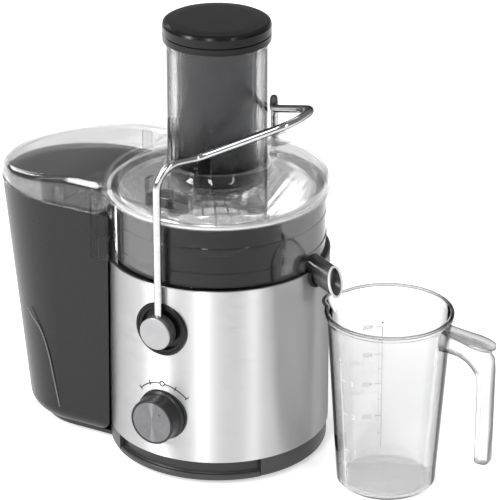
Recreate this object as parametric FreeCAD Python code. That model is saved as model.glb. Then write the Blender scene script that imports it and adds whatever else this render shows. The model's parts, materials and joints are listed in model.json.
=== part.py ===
import FreeCAD, Part
import os
from math import cos, pi, radians, sin, sqrt, tan
from FreeCAD import Vector as V

# Centrifugal juicer. Millimetres, +Z up, table at z = 0, controls towards -Y,
# pulp container towards -X, juice spout and jug towards +X. Everything is drawn round
# the motor axis and moved to the middle of the whole set when it is saved.

# ---- driving dimensions: body ----
SLEEVE_R = 100.0          # outer radius of the steel sleeve
SLEEVE_T = 1.0
SLEEVE_Z0, SLEEVE_Z1 = 23.6, 190.0
HOUSING_R = SLEEVE_R - SLEEVE_T - 0.2
HOUSING_T = 2.5
FOOT_H = 4.0
TRAY_R, TRAY_LIP_R = 94.0, 96.0
TRAY_Z1 = 23.5
TRAY_T = 3.0
DECK_Z0, DECK_Z1 = 184.0, 187.7
SCREW_R, SCREW_PCR, SCREW_HEAD_R = 1.6, 80.0, 3.4
SCREW_BOSS_R = 5.0
SCREW_ANGLES = [22.5, 112.5, 202.5, 292.5]
FOOT_R, FOOT_PCR = 9.0, 78.0
FOOT_ANGLES = [45, 135, 225, 315]
ARM_HALF_W, ARM_END_X, ARM_Z1 = 56.0, -122.0, 7.7      # tray's arm under the container
ARM_FOOT = (-150.0, 34.0)
CORD_Z, CORD_BORE = 42.0, 3.6

# ---- bail (locking arm) ----
PIVOT_Z = 149.0
BAIL_Y = 104.5            # plane of the two upright arms
BAIL_ROD_R = 3.5
BAIL_SHOULDER = (0.0, BAIL_Y, 302.5)        # corners of the rod, front half mirrored
BAIL_WAIST = (19.0, 67.0, 301.0)
BAIL_LOOP = (85.0, 19.0, 329.0)
BAIL_BENDS = (22.0, 24.0, 28.0)
BEZEL_R, BEZEL_CUP_R, BEZEL_Y = 25.0, 21.5, 100.4
HUB_R, HUB_Y0, HUB_Y1 = 15.0, 100.7, 112.0
PIN_R, PIN_GAP = 4.0, 0.05

# ---- circuit board and interlock ----
BOARD_Z, BOARD_T = 12.0, 1.6
BOARD_X, BOARD_Y0, BOARD_Y1 = 34.0, -66.0, -24.0
BOARD_CORNERS = [(sx * (BOARD_X - 5), y) for sx in (-1, 1) for y in (BOARD_Y0 + 5, BOARD_Y1 - 5)]
PLUNGER_R, PLUNGER_PCR = 2.5, 88.5
PLUNGER_Z0, PLUNGER_COLLAR_Z = 169.5, 178.0
INTERLOCK_Z0, INTERLOCK_Z1 = 154.0, 164.0

# ---- speed knob ----
KNOB_Z = 66.0
KNOB_SEAT_R, KNOB_FLANGE_R, KNOB_R = 23.6, 23.0, 21.0
KNOB_Y0, KNOB_Y1 = 101.0, 119.0
KNOB_RIBS = 36
SCALE_R, SCALE_SWEEP = 30.0, 50.0
MARK_H, MARK_W = 0.3, 0.9
SPINDLE_R = 3.0
POINTER_ANGLE = 40.0      # where the pointer stands, clockwise from the top
SWITCH_HALF = 14.0        # speed switch behind the knob, half of its side

# ---- juice bowl and spout ----
BOWL_R, BOWL_T = 96.0, 2.4
BOWL_Z0, BOWL_Z1 = 190.3, 247.0
BOWL_SEAT_Z = DECK_Z1 + 0.3
BOWL_BEADS = [(203.5, 2.0, 0.7), (227.0, 1.8, 0.4)]      # height above the table, width, swell
COLLAR_R, COLLAR_Z1 = 30.0, 202.0
SPOUT_R, SPOUT_BORE = 11.5, 9.9
SPOUT_X, SPOUT_Z, SPOUT_SLOPE = 93.0, 191.0, 23.5
SPOUT_END_X, SPOUT_CUT = 118.0, 13.0     # mouth: middle, and how far its cut leans upwards
NOTCH_W, NOTCH_Z = 14.5, 172.0
TRENCH_HALF_W, TRENCH_Z0 = 13.5, 174.0

# ---- filter basket ----
BASKET_FLOOR_R, BASKET_Z0 = 44.5, 206.0
BASKET_RIM_R, BASKET_RIM_Z0, BASKET_RIM_Z1 = 88.0, 243.0, 247.0
BASKET_T = 0.8
GRATER_R, GRATER_T = 42.0, 1.2
HUB_SOCKET_R, HUB_SOCKET_Z0 = 25.0, 196.0

# ---- lid, hood, chute, pusher ----
LID_R, LID_T = 100.0, 2.4
LID_Z0, LID_EDGE_Z, LID_TOP_Z = 247.3, 261.5, 264.5
CHUTE_R, CHUTE_BORE = 44.0, 40.6
CHUTE_Z0, CHUTE_Z1 = 214.0, 385.0
GUIDE_R, GUIDE_Z1, GUIDE_POST_Z1 = 21.0, 271.0, 286.0
PUSHER_R, PUSHER_T, PUSHER_Z0, PUSHER_LINE_Z = 37.2, 2.5, 252.0, 277.0
CAP_R, CAP_H = 47.4, 18.0
HOOD_END_Z = 245.0        # height of the hood's top at its far end
HOOD_CREASE_X = -108.0    # beyond it the top falls
HOOD_ROUND = 7.0
HOOD_GAP = 0.4            # between the container's rim and the hood
PULP_HALF_W, PULP_Z0, PULP_Z1 = 58.0, 249.0, 257.0
NECK_X0, NECK_X1 = -82.0, -60.0
NECK_Z0, NECK_Z1 = 191.5, 250.0

# ---- pulp container (plan outline: straight sides and a half-ellipse end) ----
BIN_END_X = -127.0
BIN_TOP_W, BIN_TOP_RX = 76.0, 88.0
BIN_BOTTOM_W, BIN_BOTTOM_RX = 67.0, 63.0
BIN_Z0, BIN_Z1 = 8.0, 231.3
BIN_T, BIN_SADDLE_R, BIN_BOTTOM_ROUND = 2.2, 101.8, 16.0

# ---- jug ----
JUG_X = 171.0
JUG_TOP_R, JUG_BASE_R, JUG_H, JUG_T = 55.0, 44.0, 165.0, 2.2
JUG_LIP, LIP_R, LIP_H = 7.0, 20.0, 34.0
GRIP_W, GRIP_T, GRIP_FOOT_Z = 16.0, 13.0, 40.0
GRIP_ROOT_Z, GRIP_ROOT_R = 139.0, 21.0
THUMB_HALF_W, THUMB_T, THUMB_SLOPE = 12.0, 5.0, 10.0
HANDLE_END_X = 273.0

# ---- motor ----
SHAFT_R, SHAFT_Z0, SHAFT_Z1 = 4.0, 34.0, 202.0
STATOR_HALF, STATOR_CORNER_R, STATOR_BORE = 45.0, 56.0, 27.0
STATOR_Z0, STATOR_Z1 = 70.0, 110.0
ROTOR_R = 26.4
COIL_R, COIL_BORE, COIL_H = 41.0, 28.5, 10.0
MOTOR_BOLT, MOTOR_BOLT_R = 36.0, 2.2
LOW_BRACKET_Z, TOP_BRACKET_Z, BRACKET_T = 36.0, 146.0, 4.0
BEARING_R, BEARING_H = 11.0, 7.0
TOP_BEARING_Z = TOP_BRACKET_Z - 3
MOUNT_R, MOUNT_H = 7.0, 8.0
SEAL_R = 16.0
BRUSH_Z0, BRUSH_Z1, COMMUTATOR_R = 50.0, 56.0, 12.0
FAN_R, FAN_H, FAN_BLADES = 38.0, 16.0, 9
COUPLING_R, LUG_R, LUG_HALF_W = 12.0, 15.5, 2.0
COUPLING_Z0, COUPLING_Z1 = DECK_Z1 + 7, 204.0
LUG_ANGLES = range(0, 360, 60)

SET_X0 = BIN_END_X - BIN_TOP_RX - 1.0      # far end of the hood
ORIGIN = V((SET_X0 + HANDLE_END_X) / 2, (HUB_Y1 - KNOB_Y1) / 2, 0)
UP = V(0, 0, 1)


# ---- helpers ----
def disc(r, z0, z1, x=0.0, y=0.0):
    return Part.makeCylinder(r, z1 - z0, V(x, y, z0))


def ring(r_out, r_in, z0, z1, x=0.0, y=0.0):
    return disc(r_out, z0, z1, x, y).cut(disc(r_in, z0 - 1, z1 + 1, x, y))


def block(x0, x1, y0, y1, z0, z1):
    return Part.makeBox(x1 - x0, y1 - y0, z1 - z0, V(x0, y0, z0))


def front_disc(r, y0, y1, z, x=0.0):
    """Cylinder along -Y on the front of the body, from |y| = y0 to |y| = y1."""
    return Part.makeCylinder(r, y1 - y0, V(x, -y0, z), V(0, -1, 0))


def to_rear(shape):
    return shape.mirror(V(0, 0, 0), V(0, 1, 0))


def spun(points):
    """Solid of revolution about Z from a closed (radius, height) outline."""
    outline = Part.makePolygon([V(r, 0, z) for r, z in points + points[:1]])
    return Part.Face(outline).revolve(V(0, 0, 0), UP, 360)


def turned(shape, angle, centre=V(0, 0, 0), axis=UP):
    copy = shape.copy()
    copy.rotate(centre, axis, angle)
    return copy


def around(shape, angles):
    return [turned(shape, a) for a in angles]


def fuse(shapes):
    return shapes[0].multiFuse(shapes[1:]).removeSplitter() if len(shapes) > 1 else shapes[0]


def cut(shape, tools):
    return shape.cut(Part.makeCompound(tools)) if tools else shape


def rounded(shape, radius, wanted):
    """Fillet the edges for which wanted(edge) is true."""
    edges = [e for e in shape.Edges if wanted(e)]
    return shape.makeFillet(radius, edges)


def slanted_rod(r, x0, x1, z_at_x0, slope):
    """Cylinder in the XZ plane that falls towards +X."""
    length = (x1 - x0) / cos(radians(slope))
    direction = V(cos(radians(slope)), 0, -sin(radians(slope)))
    return Part.makeCylinder(r, length, V(x0, 0, z_at_x0), direction)


def bent_rod(corners, bends, r):
    """Round rod along straight runs joined by tangent arcs."""
    edges = []
    start = corners[0]
    for i, bend in enumerate(bends, 1):
        here = corners[i]
        before = (corners[i - 1] - here).normalize()
        after = (corners[i + 1] - here).normalize()
        half = before.getAngle(after) / 2
        reach = bend / tan(half)
        middle = here + (before + after).normalize() * (bend / sin(half) - bend)
        enter, leave = here + before * reach, here + after * reach
        edges.append(Part.LineSegment(start, enter).toShape())
        edges.append(Part.Arc(enter, middle, leave).toShape())
        start = leave
    edges.append(Part.LineSegment(start, corners[-1]).toShape())
    section = Part.Wire(Part.makeCircle(r, corners[0], corners[1] - corners[0]))
    return Part.Wire(edges).makePipeShell([section], True, True)


def save(node, shape):
    moved = shape.copy()
    moved.translate(ORIGIN * -1)
    assert moved.isValid(), node
    moved.exportStep("parts/%s.step" % node)
    print(node, len(moved.Solids), round(moved.Volume / 1000, 1), "cm3")


# ---- base ----
def end_curve(half_w, end_x, end_rx, z):
    """Half-ellipse from (end_x, half_w) round the -X side to (end_x, -half_w)."""
    centre = V(end_x, 0, z)
    tip, side = V(end_x - end_rx, 0, z), V(end_x, half_w, z)
    if end_rx >= half_w:
        ellipse = Part.Ellipse(tip, V(end_x, -half_w, z), centre)
        return Part.ArcOfEllipse(ellipse, -pi / 2, pi / 2).toShape()
    ellipse = Part.Ellipse(side, tip, centre)
    return Part.ArcOfEllipse(ellipse, 0, pi).toShape()


def plan_wire(half_w, end_x, end_rx, saddle_r, z):
    """Outline of the container: sides, rounded far end and the saddle round the body."""
    x_right = -sqrt(saddle_r ** 2 - half_w ** 2)
    rear, front = V(x_right, half_w, z), V(x_right, -half_w, z)
    side_a = Part.LineSegment(rear, V(end_x, half_w, z)).toShape()
    side_b = Part.LineSegment(V(end_x, -half_w, z), front).toShape()
    saddle = Part.Arc(front, V(-saddle_r, 0, z), rear).toShape()
    return Part.Wire([side_a, end_curve(half_w, end_x, end_rx, z), side_b, saddle])


def base_tray():
    shell = spun([(TRAY_R - TRAY_T, TRAY_Z1), (TRAY_R, TRAY_Z1), (TRAY_R, 11.0), (TRAY_LIP_R, 9.0),
                  (TRAY_LIP_R, FOOT_H + 1), (TRAY_LIP_R - 1, FOOT_H), (0, FOOT_H),
                  (0, FOOT_H + TRAY_T), (TRAY_R - TRAY_T, FOOT_H + TRAY_T)])
    arm = fuse([block(ARM_END_X, -TRAY_R + 20, -ARM_HALF_W, ARM_HALF_W, FOOT_H, ARM_Z1),
                disc(ARM_HALF_W, FOOT_H, ARM_Z1, ARM_END_X)]).cut(disc(TRAY_R - 1, 0, 20))
    bosses = around(disc(SCREW_BOSS_R, FOOT_H + 1, TRAY_Z1, SCREW_PCR), SCREW_ANGLES)
    posts = [disc(3, FOOT_H + 1, BOARD_Z, x, y) for x, y in BOARD_CORNERS]
    tray = fuse([shell, arm] + bosses + posts)
    clear_of_board = [a for a in range(0, 360, 20) if not 240 < a < 300]
    vents = around(block(30, 62, -1.5, 1.5, 0, 12), clear_of_board)
    holes = around(fuse([disc(SCREW_R + 0.2, 0, 40, SCREW_PCR),
                         disc(SCREW_HEAD_R + 0.4, 0, FOOT_H + 2.5, SCREW_PCR)]), SCREW_ANGLES)
    return cut(tray, vents + holes)


def feet():
    under_body = around(disc(FOOT_R, 0, FOOT_H, FOOT_PCR), FOOT_ANGLES)
    under_arm = [disc(FOOT_R, 0, FOOT_H, ARM_FOOT[0], s * ARM_FOOT[1]) for s in (-1, 1)]
    return Part.makeCompound(under_body + under_arm)


def base_screws():
    screw = fuse([disc(SCREW_HEAD_R, FOOT_H + 0.2, FOOT_H + 2.5, SCREW_PCR),
                  disc(SCREW_R, FOOT_H + 2, SLEEVE_Z0 + 9, SCREW_PCR)])
    socket = block(SCREW_PCR - 2.2, SCREW_PCR + 2.2, -0.5, 0.5, FOOT_H, FOOT_H + 1.2)
    screw = screw.cut(socket).cut(turned(socket, 90, V(SCREW_PCR, 0, 0)))
    return Part.makeCompound(around(screw, SCREW_ANGLES))


def spout_trench(grow):
    """Space under the spout, open to the top and outwards."""
    half_w = TRENCH_HALF_W + grow
    return block(58 - grow, SLEEVE_R + 8, -half_w, half_w, TRENCH_Z0 - grow, DECK_Z1 + 6)


def wall_holes(extra):
    """Openings through the front and rear wall for bezels, knob spindle and cord."""
    bezel = front_disc(BEZEL_CUP_R + extra, 80, 110, PIVOT_Z)
    return [bezel, to_rear(bezel), front_disc(6 + extra, 80, 110, KNOB_Z),
            to_rear(front_disc(8 + extra, 80, 110, CORD_Z))]


def motor_housing():
    z0 = SLEEVE_Z0 + 0.2
    inner = HOUSING_R - HOUSING_T
    wall = ring(HOUSING_R, inner, z0, DECK_Z1 + 1.5)
    flange = ring(HOUSING_R, SCREW_PCR - 6, z0, z0 + 2.5)
    deck = ring(HOUSING_R, SEAL_R, DECK_Z0, DECK_Z1)
    collar = ring(SEAL_R + 4, SEAL_R, DECK_Z0 - 4, DECK_Z1 + 6)
    posts = around(disc(SCREW_BOSS_R, z0 + 1, z0 + 11, SCREW_PCR), SCREW_ANGLES)
    hangers = motor_corners(MOUNT_R, TOP_BRACKET_Z + BRACKET_T + MOUNT_H, DECK_Z0 + 1)
    rib = block(-inner - 1, -PLUNGER_PCR - 5.5, -4, 4, INTERLOCK_Z0 - 4, INTERLOCK_Z1 + 4)
    trench = spout_trench(2).common(disc(HOUSING_R, 150, DECK_Z1))
    body = fuse([wall, flange, deck, collar, trench, rib] + posts + hangers)
    screw_bores = around(disc(SCREW_R + 0.05, 0, SLEEVE_Z0 + 11, SCREW_PCR), SCREW_ANGLES)
    plunger_bore = disc(PLUNGER_R + PIN_GAP, DECK_Z0 - 5, DECK_Z1 + 5, -PLUNGER_PCR)
    grommet_seat = notch(NOTCH_W, HOUSING_R - HOUSING_T - 1, SLEEVE_R + 5)
    return cut(body, [spout_trench(0), grommet_seat, plunger_bore] + screw_bores + wall_holes(0.1))


def notch(half_w, r0, r1):
    """U-shaped notch prism along X through the top edge of the wall."""
    centre_z = NOTCH_Z + NOTCH_W
    upper = block(r0, r1, -half_w, half_w, centre_z, SLEEVE_Z1 + 5)
    return fuse([upper, Part.makeCylinder(half_w, r1 - r0, V(r0, 0, centre_z), V(1, 0, 0))])


def steel_sleeve():
    wall = ring(SLEEVE_R, SLEEVE_R - SLEEVE_T, SLEEVE_Z0, SLEEVE_Z1)
    rolled_edge = spun([(SLEEVE_R - 1.1, SLEEVE_Z1 - 1.2), (SLEEVE_R + 0.4, SLEEVE_Z1 - 0.9),
                        (SLEEVE_R + 0.4, SLEEVE_Z1 - 0.2), (SLEEVE_R - 1.1, SLEEVE_Z1)])
    return cut(fuse([wall, rolled_edge]), [notch(NOTCH_W, 80, 110)] + wall_holes(0.2))


def spout_grommet():
    lining = notch(NOTCH_W - 0.1, 90, 110).cut(notch(NOTCH_W - 2.1, 80, 120))
    band = ring(SLEEVE_R + 1.6, HOUSING_R - HOUSING_T + 1, NOTCH_Z - 1, SLEEVE_Z1)
    return lining.common(band)


def front_bezel():
    inner_wall = disc(SLEEVE_R + 0.45, PIVOT_Z - 40, PIVOT_Z + 41)
    collar = front_disc(BEZEL_R, 60, BEZEL_Y, PIVOT_Z).cut(inner_wall)
    cup = front_disc(BEZEL_CUP_R, 93, BEZEL_Y, PIVOT_Z)
    dish = front_disc(BEZEL_CUP_R - 2, 96, BEZEL_Y + 1, PIVOT_Z)
    boss = front_disc(8, 93, BEZEL_Y, PIVOT_Z)
    bore = front_disc(PIN_R + PIN_GAP, 80, 110, PIVOT_Z)
    return fuse([cup.cut(dish), boss, collar]).cut(bore)


def front_pin():
    return front_disc(PIN_R, 94, HUB_Y0, PIVOT_Z)


def front_hub():
    cap = rounded(front_disc(HUB_R, HUB_Y0, HUB_Y1, PIVOT_Z), 1.2, lambda e: e.BoundBox.YMax < -HUB_Y1 + 0.1)
    return cap.cut(disc(BAIL_ROD_R, PIVOT_Z, PIVOT_Z + 2 * HUB_R, 0, -BAIL_Y))


def bail_rod():
    rear = [V(0, BAIL_Y, PIVOT_Z), V(*BAIL_SHOULDER), V(*BAIL_WAIST), V(*BAIL_LOOP)]
    front = [V(p.x, -p.y, p.z) for p in reversed(rear)]
    return bent_rod(rear + front, BAIL_BENDS + BAIL_BENDS[::-1], BAIL_ROD_R)


def knob_seat():
    seat = front_disc(KNOB_SEAT_R, 60, KNOB_Y0 - 0.4, KNOB_Z).cut(disc(SLEEVE_R + 0.05, 0, 120))
    return seat.cut(front_disc(6.2, 60, 120, KNOB_Z))


def knob_skirt():
    flange = front_disc(KNOB_FLANGE_R, KNOB_Y0, KNOB_Y0 + 3.5, KNOB_Z)
    barrel = front_disc(KNOB_R, KNOB_Y0 + 3.5, KNOB_Y1, KNOB_Z)
    pocket = front_disc(KNOB_R - 2, KNOB_Y1 - 1.5, KNOB_Y1 + 1, KNOB_Z)
    bore = front_disc(SPINDLE_R, 90, KNOB_Y0 + 10, KNOB_Z)
    groove = front_disc(0.8, KNOB_Y0 + 4.5, KNOB_Y1 + 1, KNOB_Z + KNOB_R + 0.3)
    grooves = [turned(groove, i * 360 / KNOB_RIBS, V(0, 0, KNOB_Z), V(0, 1, 0)) for i in range(KNOB_RIBS)]
    return cut(fuse([flange, barrel]), [pocket, bore] + grooves)


def knob_face():
    face = front_disc(KNOB_R - 2.1, KNOB_Y1 - 1.5, KNOB_Y1 - 0.3, KNOB_Z)
    pointer = block(-1.1, 1.1, -KNOB_Y1 - 1, -KNOB_Y1 + 0.9, KNOB_Z + 11, KNOB_Z + 17)
    return face.cut(turned(pointer, POINTER_ANGLE, V(0, 0, KNOB_Z), V(0, 1, 0)))


def knob_spindle():
    return front_disc(SPINDLE_R, 78, KNOB_Y0 + 10, KNOB_Z)


def speed_switch():
    half = SWITCH_HALF
    body = block(-half, half, -90, -72, KNOB_Z - half, KNOB_Z + half)
    bush = front_disc(5.5, 90, HOUSING_R, KNOB_Z)
    tags = [block(x - 1, x + 1, -72, -66, KNOB_Z - 6, KNOB_Z + 6) for x in (-9, -3, 3, 9)]
    return fuse([body, bush] + tags).cut(front_disc(SPINDLE_R + PIN_GAP, 70, 120, KNOB_Z))


def dial_marks():
    """Printed speed scale: a thin arc above the knob, end hooks, ticks and a small circle."""
    def flat_ring(r, z):
        outer = front_disc(r + MARK_W / 2, 80, 110, z)
        return outer.cut(front_disc(r - MARK_W / 2, 79, 111, z))

    top_z = KNOB_Z + SCALE_R
    reach = SCALE_R * sin(radians(SCALE_SWEEP))
    drop = SCALE_R * cos(radians(SCALE_SWEEP))
    window = block(-reach, reach, -110, -80, KNOB_Z + drop, top_z + 2)
    circle = flat_ring(2.2, top_z)
    arc = flat_ring(SCALE_R, KNOB_Z).common(window).cut(front_disc(2.6, 79, 111, top_z))
    tick = block(-MARK_W / 2, MARK_W / 2, -110, -80, top_z - 1.6, top_z + 2.6)
    tick_angles = (-SCALE_SWEEP, -SCALE_SWEEP / 2, SCALE_SWEEP / 2, SCALE_SWEEP)
    ticks = [turned(tick, a, V(0, 0, KNOB_Z), V(0, 1, 0)) for a in tick_angles]
    skin = ring(SLEEVE_R + MARK_H, SLEEVE_R, KNOB_Z, KNOB_Z + 50)
    return fuse([arc] + ticks).multiFuse([circle]).common(skin)


def cord_grommet():
    bush = front_disc(7.8, HOUSING_R - HOUSING_T - 2, SLEEVE_R + 1, CORD_Z)
    flange = front_disc(11, SLEEVE_R + 0.1, SLEEVE_R + 3, CORD_Z)
    return to_rear(fuse([bush, flange]).cut(front_disc(CORD_BORE, 80, 120, CORD_Z)))


def circuit_board():
    top = BOARD_Z + BOARD_T
    plate = block(-BOARD_X, BOARD_X, BOARD_Y0, BOARD_Y1, BOARD_Z, top)
    relay = block(-24, -8, -58, -46, top, top + 12)
    connector = block(2, 22, -60, -52, top, top + 5)
    triac = block(14, 24, -44, -34, top, top + 8)
    capacitors = [disc(5, top, top + 11, -14, -34), disc(4, top, top + 9, 4, -36)]
    return fuse([plate, relay, connector, triac] + capacitors)


def interlock_switch():
    x0 = -PLUNGER_PCR - 5.5
    body = block(x0, x0 + 19, -4, 4, INTERLOCK_Z0, INTERLOCK_Z1)
    return fuse([body, disc(1.5, INTERLOCK_Z1, INTERLOCK_Z1 + 1.5, -PLUNGER_PCR)])


def interlock_plunger():
    rod = disc(PLUNGER_R, PLUNGER_Z0, DECK_Z1 + 0.2, -PLUNGER_PCR)
    return fuse([rod, disc(4, PLUNGER_COLLAR_Z, PLUNGER_COLLAR_Z + 2, -PLUNGER_PCR)])


# ---- motor ----
def motor_plate(z0, z1):
    half = STATOR_HALF
    return block(-half, half, -half, half, z0, z1).common(disc(STATOR_CORNER_R, z0, z1))


def motor_corners(r, z0, z1):
    return [disc(r, z0, z1, sx * MOTOR_BOLT, sy * MOTOR_BOLT) for sx in (-1, 1) for sy in (-1, 1)]


def motor_stator():
    core = motor_plate(STATOR_Z0, STATOR_Z1).cut(disc(STATOR_BORE, STATOR_Z0 - 1, STATOR_Z1 + 1))
    return cut(core, motor_corners(MOTOR_BOLT_R + 0.1, STATOR_Z0 - 1, STATOR_Z1 + 1))


def stator_coils():
    """Field windings: two saddles that stand above and below the stack."""
    gap = block(-COIL_R - 1, COIL_R + 1, -7, 7, 0, 200)
    lower = ring(COIL_R, COIL_BORE, STATOR_Z0 - COIL_H, STATOR_Z0)
    upper = ring(COIL_R, COIL_BORE, STATOR_Z1, STATOR_Z1 + COIL_H)
    return Part.makeCompound([lower.cut(gap), upper.cut(gap)])


def motor_bracket(z0, bearing_z):
    plate = motor_plate(z0, z0 + BRACKET_T)
    cup = disc(BEARING_R + 3, min(z0, bearing_z), max(z0 + BRACKET_T, bearing_z + BEARING_H))
    seat = disc(BEARING_R, bearing_z, bearing_z + BEARING_H)
    shaft_way = disc(SHAFT_R + 2, 0, 300)
    return cut(fuse([plate, cup]), [seat, shaft_way] + motor_corners(MOTOR_BOLT_R + 0.1, 0, 300))


def bearing(z0):
    outer_race = ring(BEARING_R, BEARING_R - 2, z0, z0 + BEARING_H)
    inner_race = ring(SHAFT_R + 2, SHAFT_R + PIN_GAP, z0, z0 + BEARING_H)
    shield = ring(BEARING_R - 2, SHAFT_R + 2, z0 + 0.6, z0 + BEARING_H - 0.6)
    return fuse([outer_race, inner_race, shield])


def motor_bolts():
    shank_z1 = TOP_BRACKET_Z + BRACKET_T
    bolts = motor_corners(MOTOR_BOLT_R, LOW_BRACKET_Z - 2, shank_z1)
    heads = motor_corners(4, LOW_BRACKET_Z - 5, LOW_BRACKET_Z)
    return Part.makeCompound([fuse([b, h]) for b, h in zip(bolts, heads)])


def motor_mounts():
    z0 = TOP_BRACKET_Z + BRACKET_T
    return Part.makeCompound(motor_corners(MOUNT_R, z0, z0 + MOUNT_H))


def brush_holders():
    z_foot = LOW_BRACKET_Z + BRACKET_T
    channel = block(10, 40, -3.1, 3.1, BRUSH_Z0 - 0.1, BRUSH_Z1 + 0.1)
    holder = block(15, 36, -6, 6, z_foot, BRUSH_Z1 + 3).cut(channel)
    return Part.makeCompound(around(holder, (0, 180)))


def carbon_brushes():
    brush = block(COMMUTATOR_R + 0.3, 31, -3, 3, BRUSH_Z0, BRUSH_Z1)
    return Part.makeCompound(around(brush, (0, 180)))


def motor_shaft():
    return disc(SHAFT_R, SHAFT_Z0, SHAFT_Z1)


def on_shaft(r, z0, z1):
    return ring(r, SHAFT_R, z0, z1)


def rotor_core():
    core = on_shaft(ROTOR_R, STATOR_Z0 + 1, STATOR_Z1 - 1)
    slot = block(ROTOR_R - 8, ROTOR_R + 1, -1, 1, STATOR_Z0, STATOR_Z1)
    return cut(core, around(slot, range(0, 360, 30)))


def rotor_windings():
    lower = on_shaft(ROTOR_R - 4.4, STATOR_Z0 - 8, STATOR_Z0 + 1)
    upper = on_shaft(ROTOR_R - 4.4, STATOR_Z1 - 1, STATOR_Z1 + 7)
    return Part.makeCompound([lower, upper])


def commutator():
    body = on_shaft(COMMUTATOR_R, BRUSH_Z0 - 3, BRUSH_Z1 + 4)
    gap = block(COMMUTATOR_R - 1, COMMUTATOR_R + 1, -0.3, 0.3, BRUSH_Z0 - 4, BRUSH_Z1 + 2)
    return cut(body, around(gap, range(0, 360, 30)))


def cooling_fan():
    z0 = STATOR_Z1 + 12
    hub = on_shaft(10, z0, z0 + FAN_H)
    plate = on_shaft(FAN_R, z0, z0 + 2)
    blade = block(9, FAN_R, -0.9, 0.9, z0 + 1, z0 + FAN_H)
    return fuse([hub, plate] + around(blade, [i * 360 / FAN_BLADES for i in range(FAN_BLADES)]))


def shaft_seal():
    return ring(SEAL_R, SHAFT_R + PIN_GAP, DECK_Z0 - 3, DECK_Z1 + 3)


def drive_coupling():
    body = on_shaft(COUPLING_R, COUPLING_Z0, COUPLING_Z1)
    lug = block(COUPLING_R - 1, LUG_R, -LUG_HALF_W, LUG_HALF_W, HUB_SOCKET_Z0 + 0.5, COUPLING_Z1 - 0.5)
    cap = disc(COUPLING_R, SHAFT_Z1, COUPLING_Z1)
    return fuse([body, cap] + around(lug, LUG_ANGLES))


# ---- bowl ----
def spout_axis_z(x):
    return SPOUT_Z + (SPOUT_X - x) * tan(radians(SPOUT_SLOPE))


def juice_bowl():
    inner = BOWL_R - BOWL_T
    floor_z = BOWL_Z0 + BOWL_T
    outside = [(BOWL_R, BOWL_Z0)]
    for z, height, swell in BOWL_BEADS:
        outside += [(BOWL_R, z), (BOWL_R + swell, z + 0.5)]
        outside += [(BOWL_R + swell, z + height - 0.5), (BOWL_R, z + height)]
    outside += [(BOWL_R, BOWL_Z1 - 4), (BOWL_R + 1.2, BOWL_Z1 - 3), (BOWL_R + 1.2, BOWL_Z1)]
    wall = spun(outside + [(inner, BOWL_Z1), (inner, BOWL_Z0)])
    floor = ring(inner + 0.1, COLLAR_R - BOWL_T, BOWL_Z0, floor_z)
    collar = ring(COLLAR_R, COLLAR_R - BOWL_T, BOWL_Z0, COLLAR_Z1)
    seat = ring(90, 87, BOWL_SEAT_Z, BOWL_Z0 + 0.1)
    x0 = 55.0
    tube = slanted_rod(SPOUT_R, x0, SPOUT_END_X + 20, spout_axis_z(x0), SPOUT_SLOPE)
    tube = tube.cut(disc(inner, floor_z, 300)).cut(disc(BOWL_R - 1, BOWL_Z1 - 30, 300))
    bore = slanted_rod(SPOUT_BORE, x0 - 8, SPOUT_END_X + 30, spout_axis_z(x0 - 8), SPOUT_SLOPE)
    beyond = block(SPOUT_END_X, SPOUT_END_X + 60, -30, 30, 120, 240)
    beyond.rotate(V(SPOUT_END_X, 0, spout_axis_z(SPOUT_END_X)), V(0, 1, 0), -SPOUT_CUT)
    return fuse([wall, floor, collar, seat, tube]).cut(bore).cut(beyond)


def bowl_seal():
    return ring(COLLAR_R - BOWL_T, SEAL_R + 4.4, BOWL_Z0, BOWL_Z0 + 2)


# ---- basket ----
def basket_mesh():
    z1 = BASKET_Z0 + GRATER_T
    outer_r = BASKET_RIM_R - 2.5
    return spun([(0, BASKET_Z0), (BASKET_FLOOR_R, BASKET_Z0), (outer_r, BASKET_RIM_Z0),
                 (outer_r - BASKET_T, BASKET_RIM_Z0), (BASKET_FLOOR_R - BASKET_T / 2, z1), (0, z1)])


def basket_rim():
    r0 = BASKET_RIM_R - 2.5 - BASKET_T
    return spun([(r0, BASKET_RIM_Z0), (BASKET_RIM_R - 1, BASKET_RIM_Z0), (BASKET_RIM_R, BASKET_RIM_Z0 + 1),
                 (BASKET_RIM_R, BASKET_RIM_Z1 - 1), (BASKET_RIM_R - 1, BASKET_RIM_Z1), (r0, BASKET_RIM_Z1)])


def grater_disc():
    z0 = BASKET_Z0 + GRATER_T
    plate = disc(GRATER_R, z0, z0 + 1)
    dome = disc(9, z0, z0 + 3)
    tooth = Part.Face(Part.makePolygon([V(-0.9, 0, 0.9), V(0.9, 0, 0.9), V(0.9, 0, 2.6), V(-0.9, 0, 0.9)]))
    tooth = tooth.extrude(V(0, 1.4, 0))
    teeth = []
    for row, r in enumerate((15, 21, 27, 33, 39)):
        count = 6 + 4 * row
        base = tooth.copy()
        base.translate(V(r, 0, z0))
        teeth += around(base, [360 / count * (i + row * 0.37) for i in range(count)])
    return fuse([plate, dome] + teeth)


def basket_hub():
    body = disc(HUB_SOCKET_R, HUB_SOCKET_Z0, BASKET_Z0)
    slot = block(0, LUG_R + 0.5, -LUG_HALF_W - 0.4, LUG_HALF_W + 0.4, HUB_SOCKET_Z0 - 1, COUPLING_Z1 + 0.5)
    socket = disc(COUPLING_R + 0.4, HUB_SOCKET_Z0 - 1, COUPLING_Z1 + 0.5)
    return cut(body, [socket] + around(slot, LUG_ANGLES))


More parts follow.
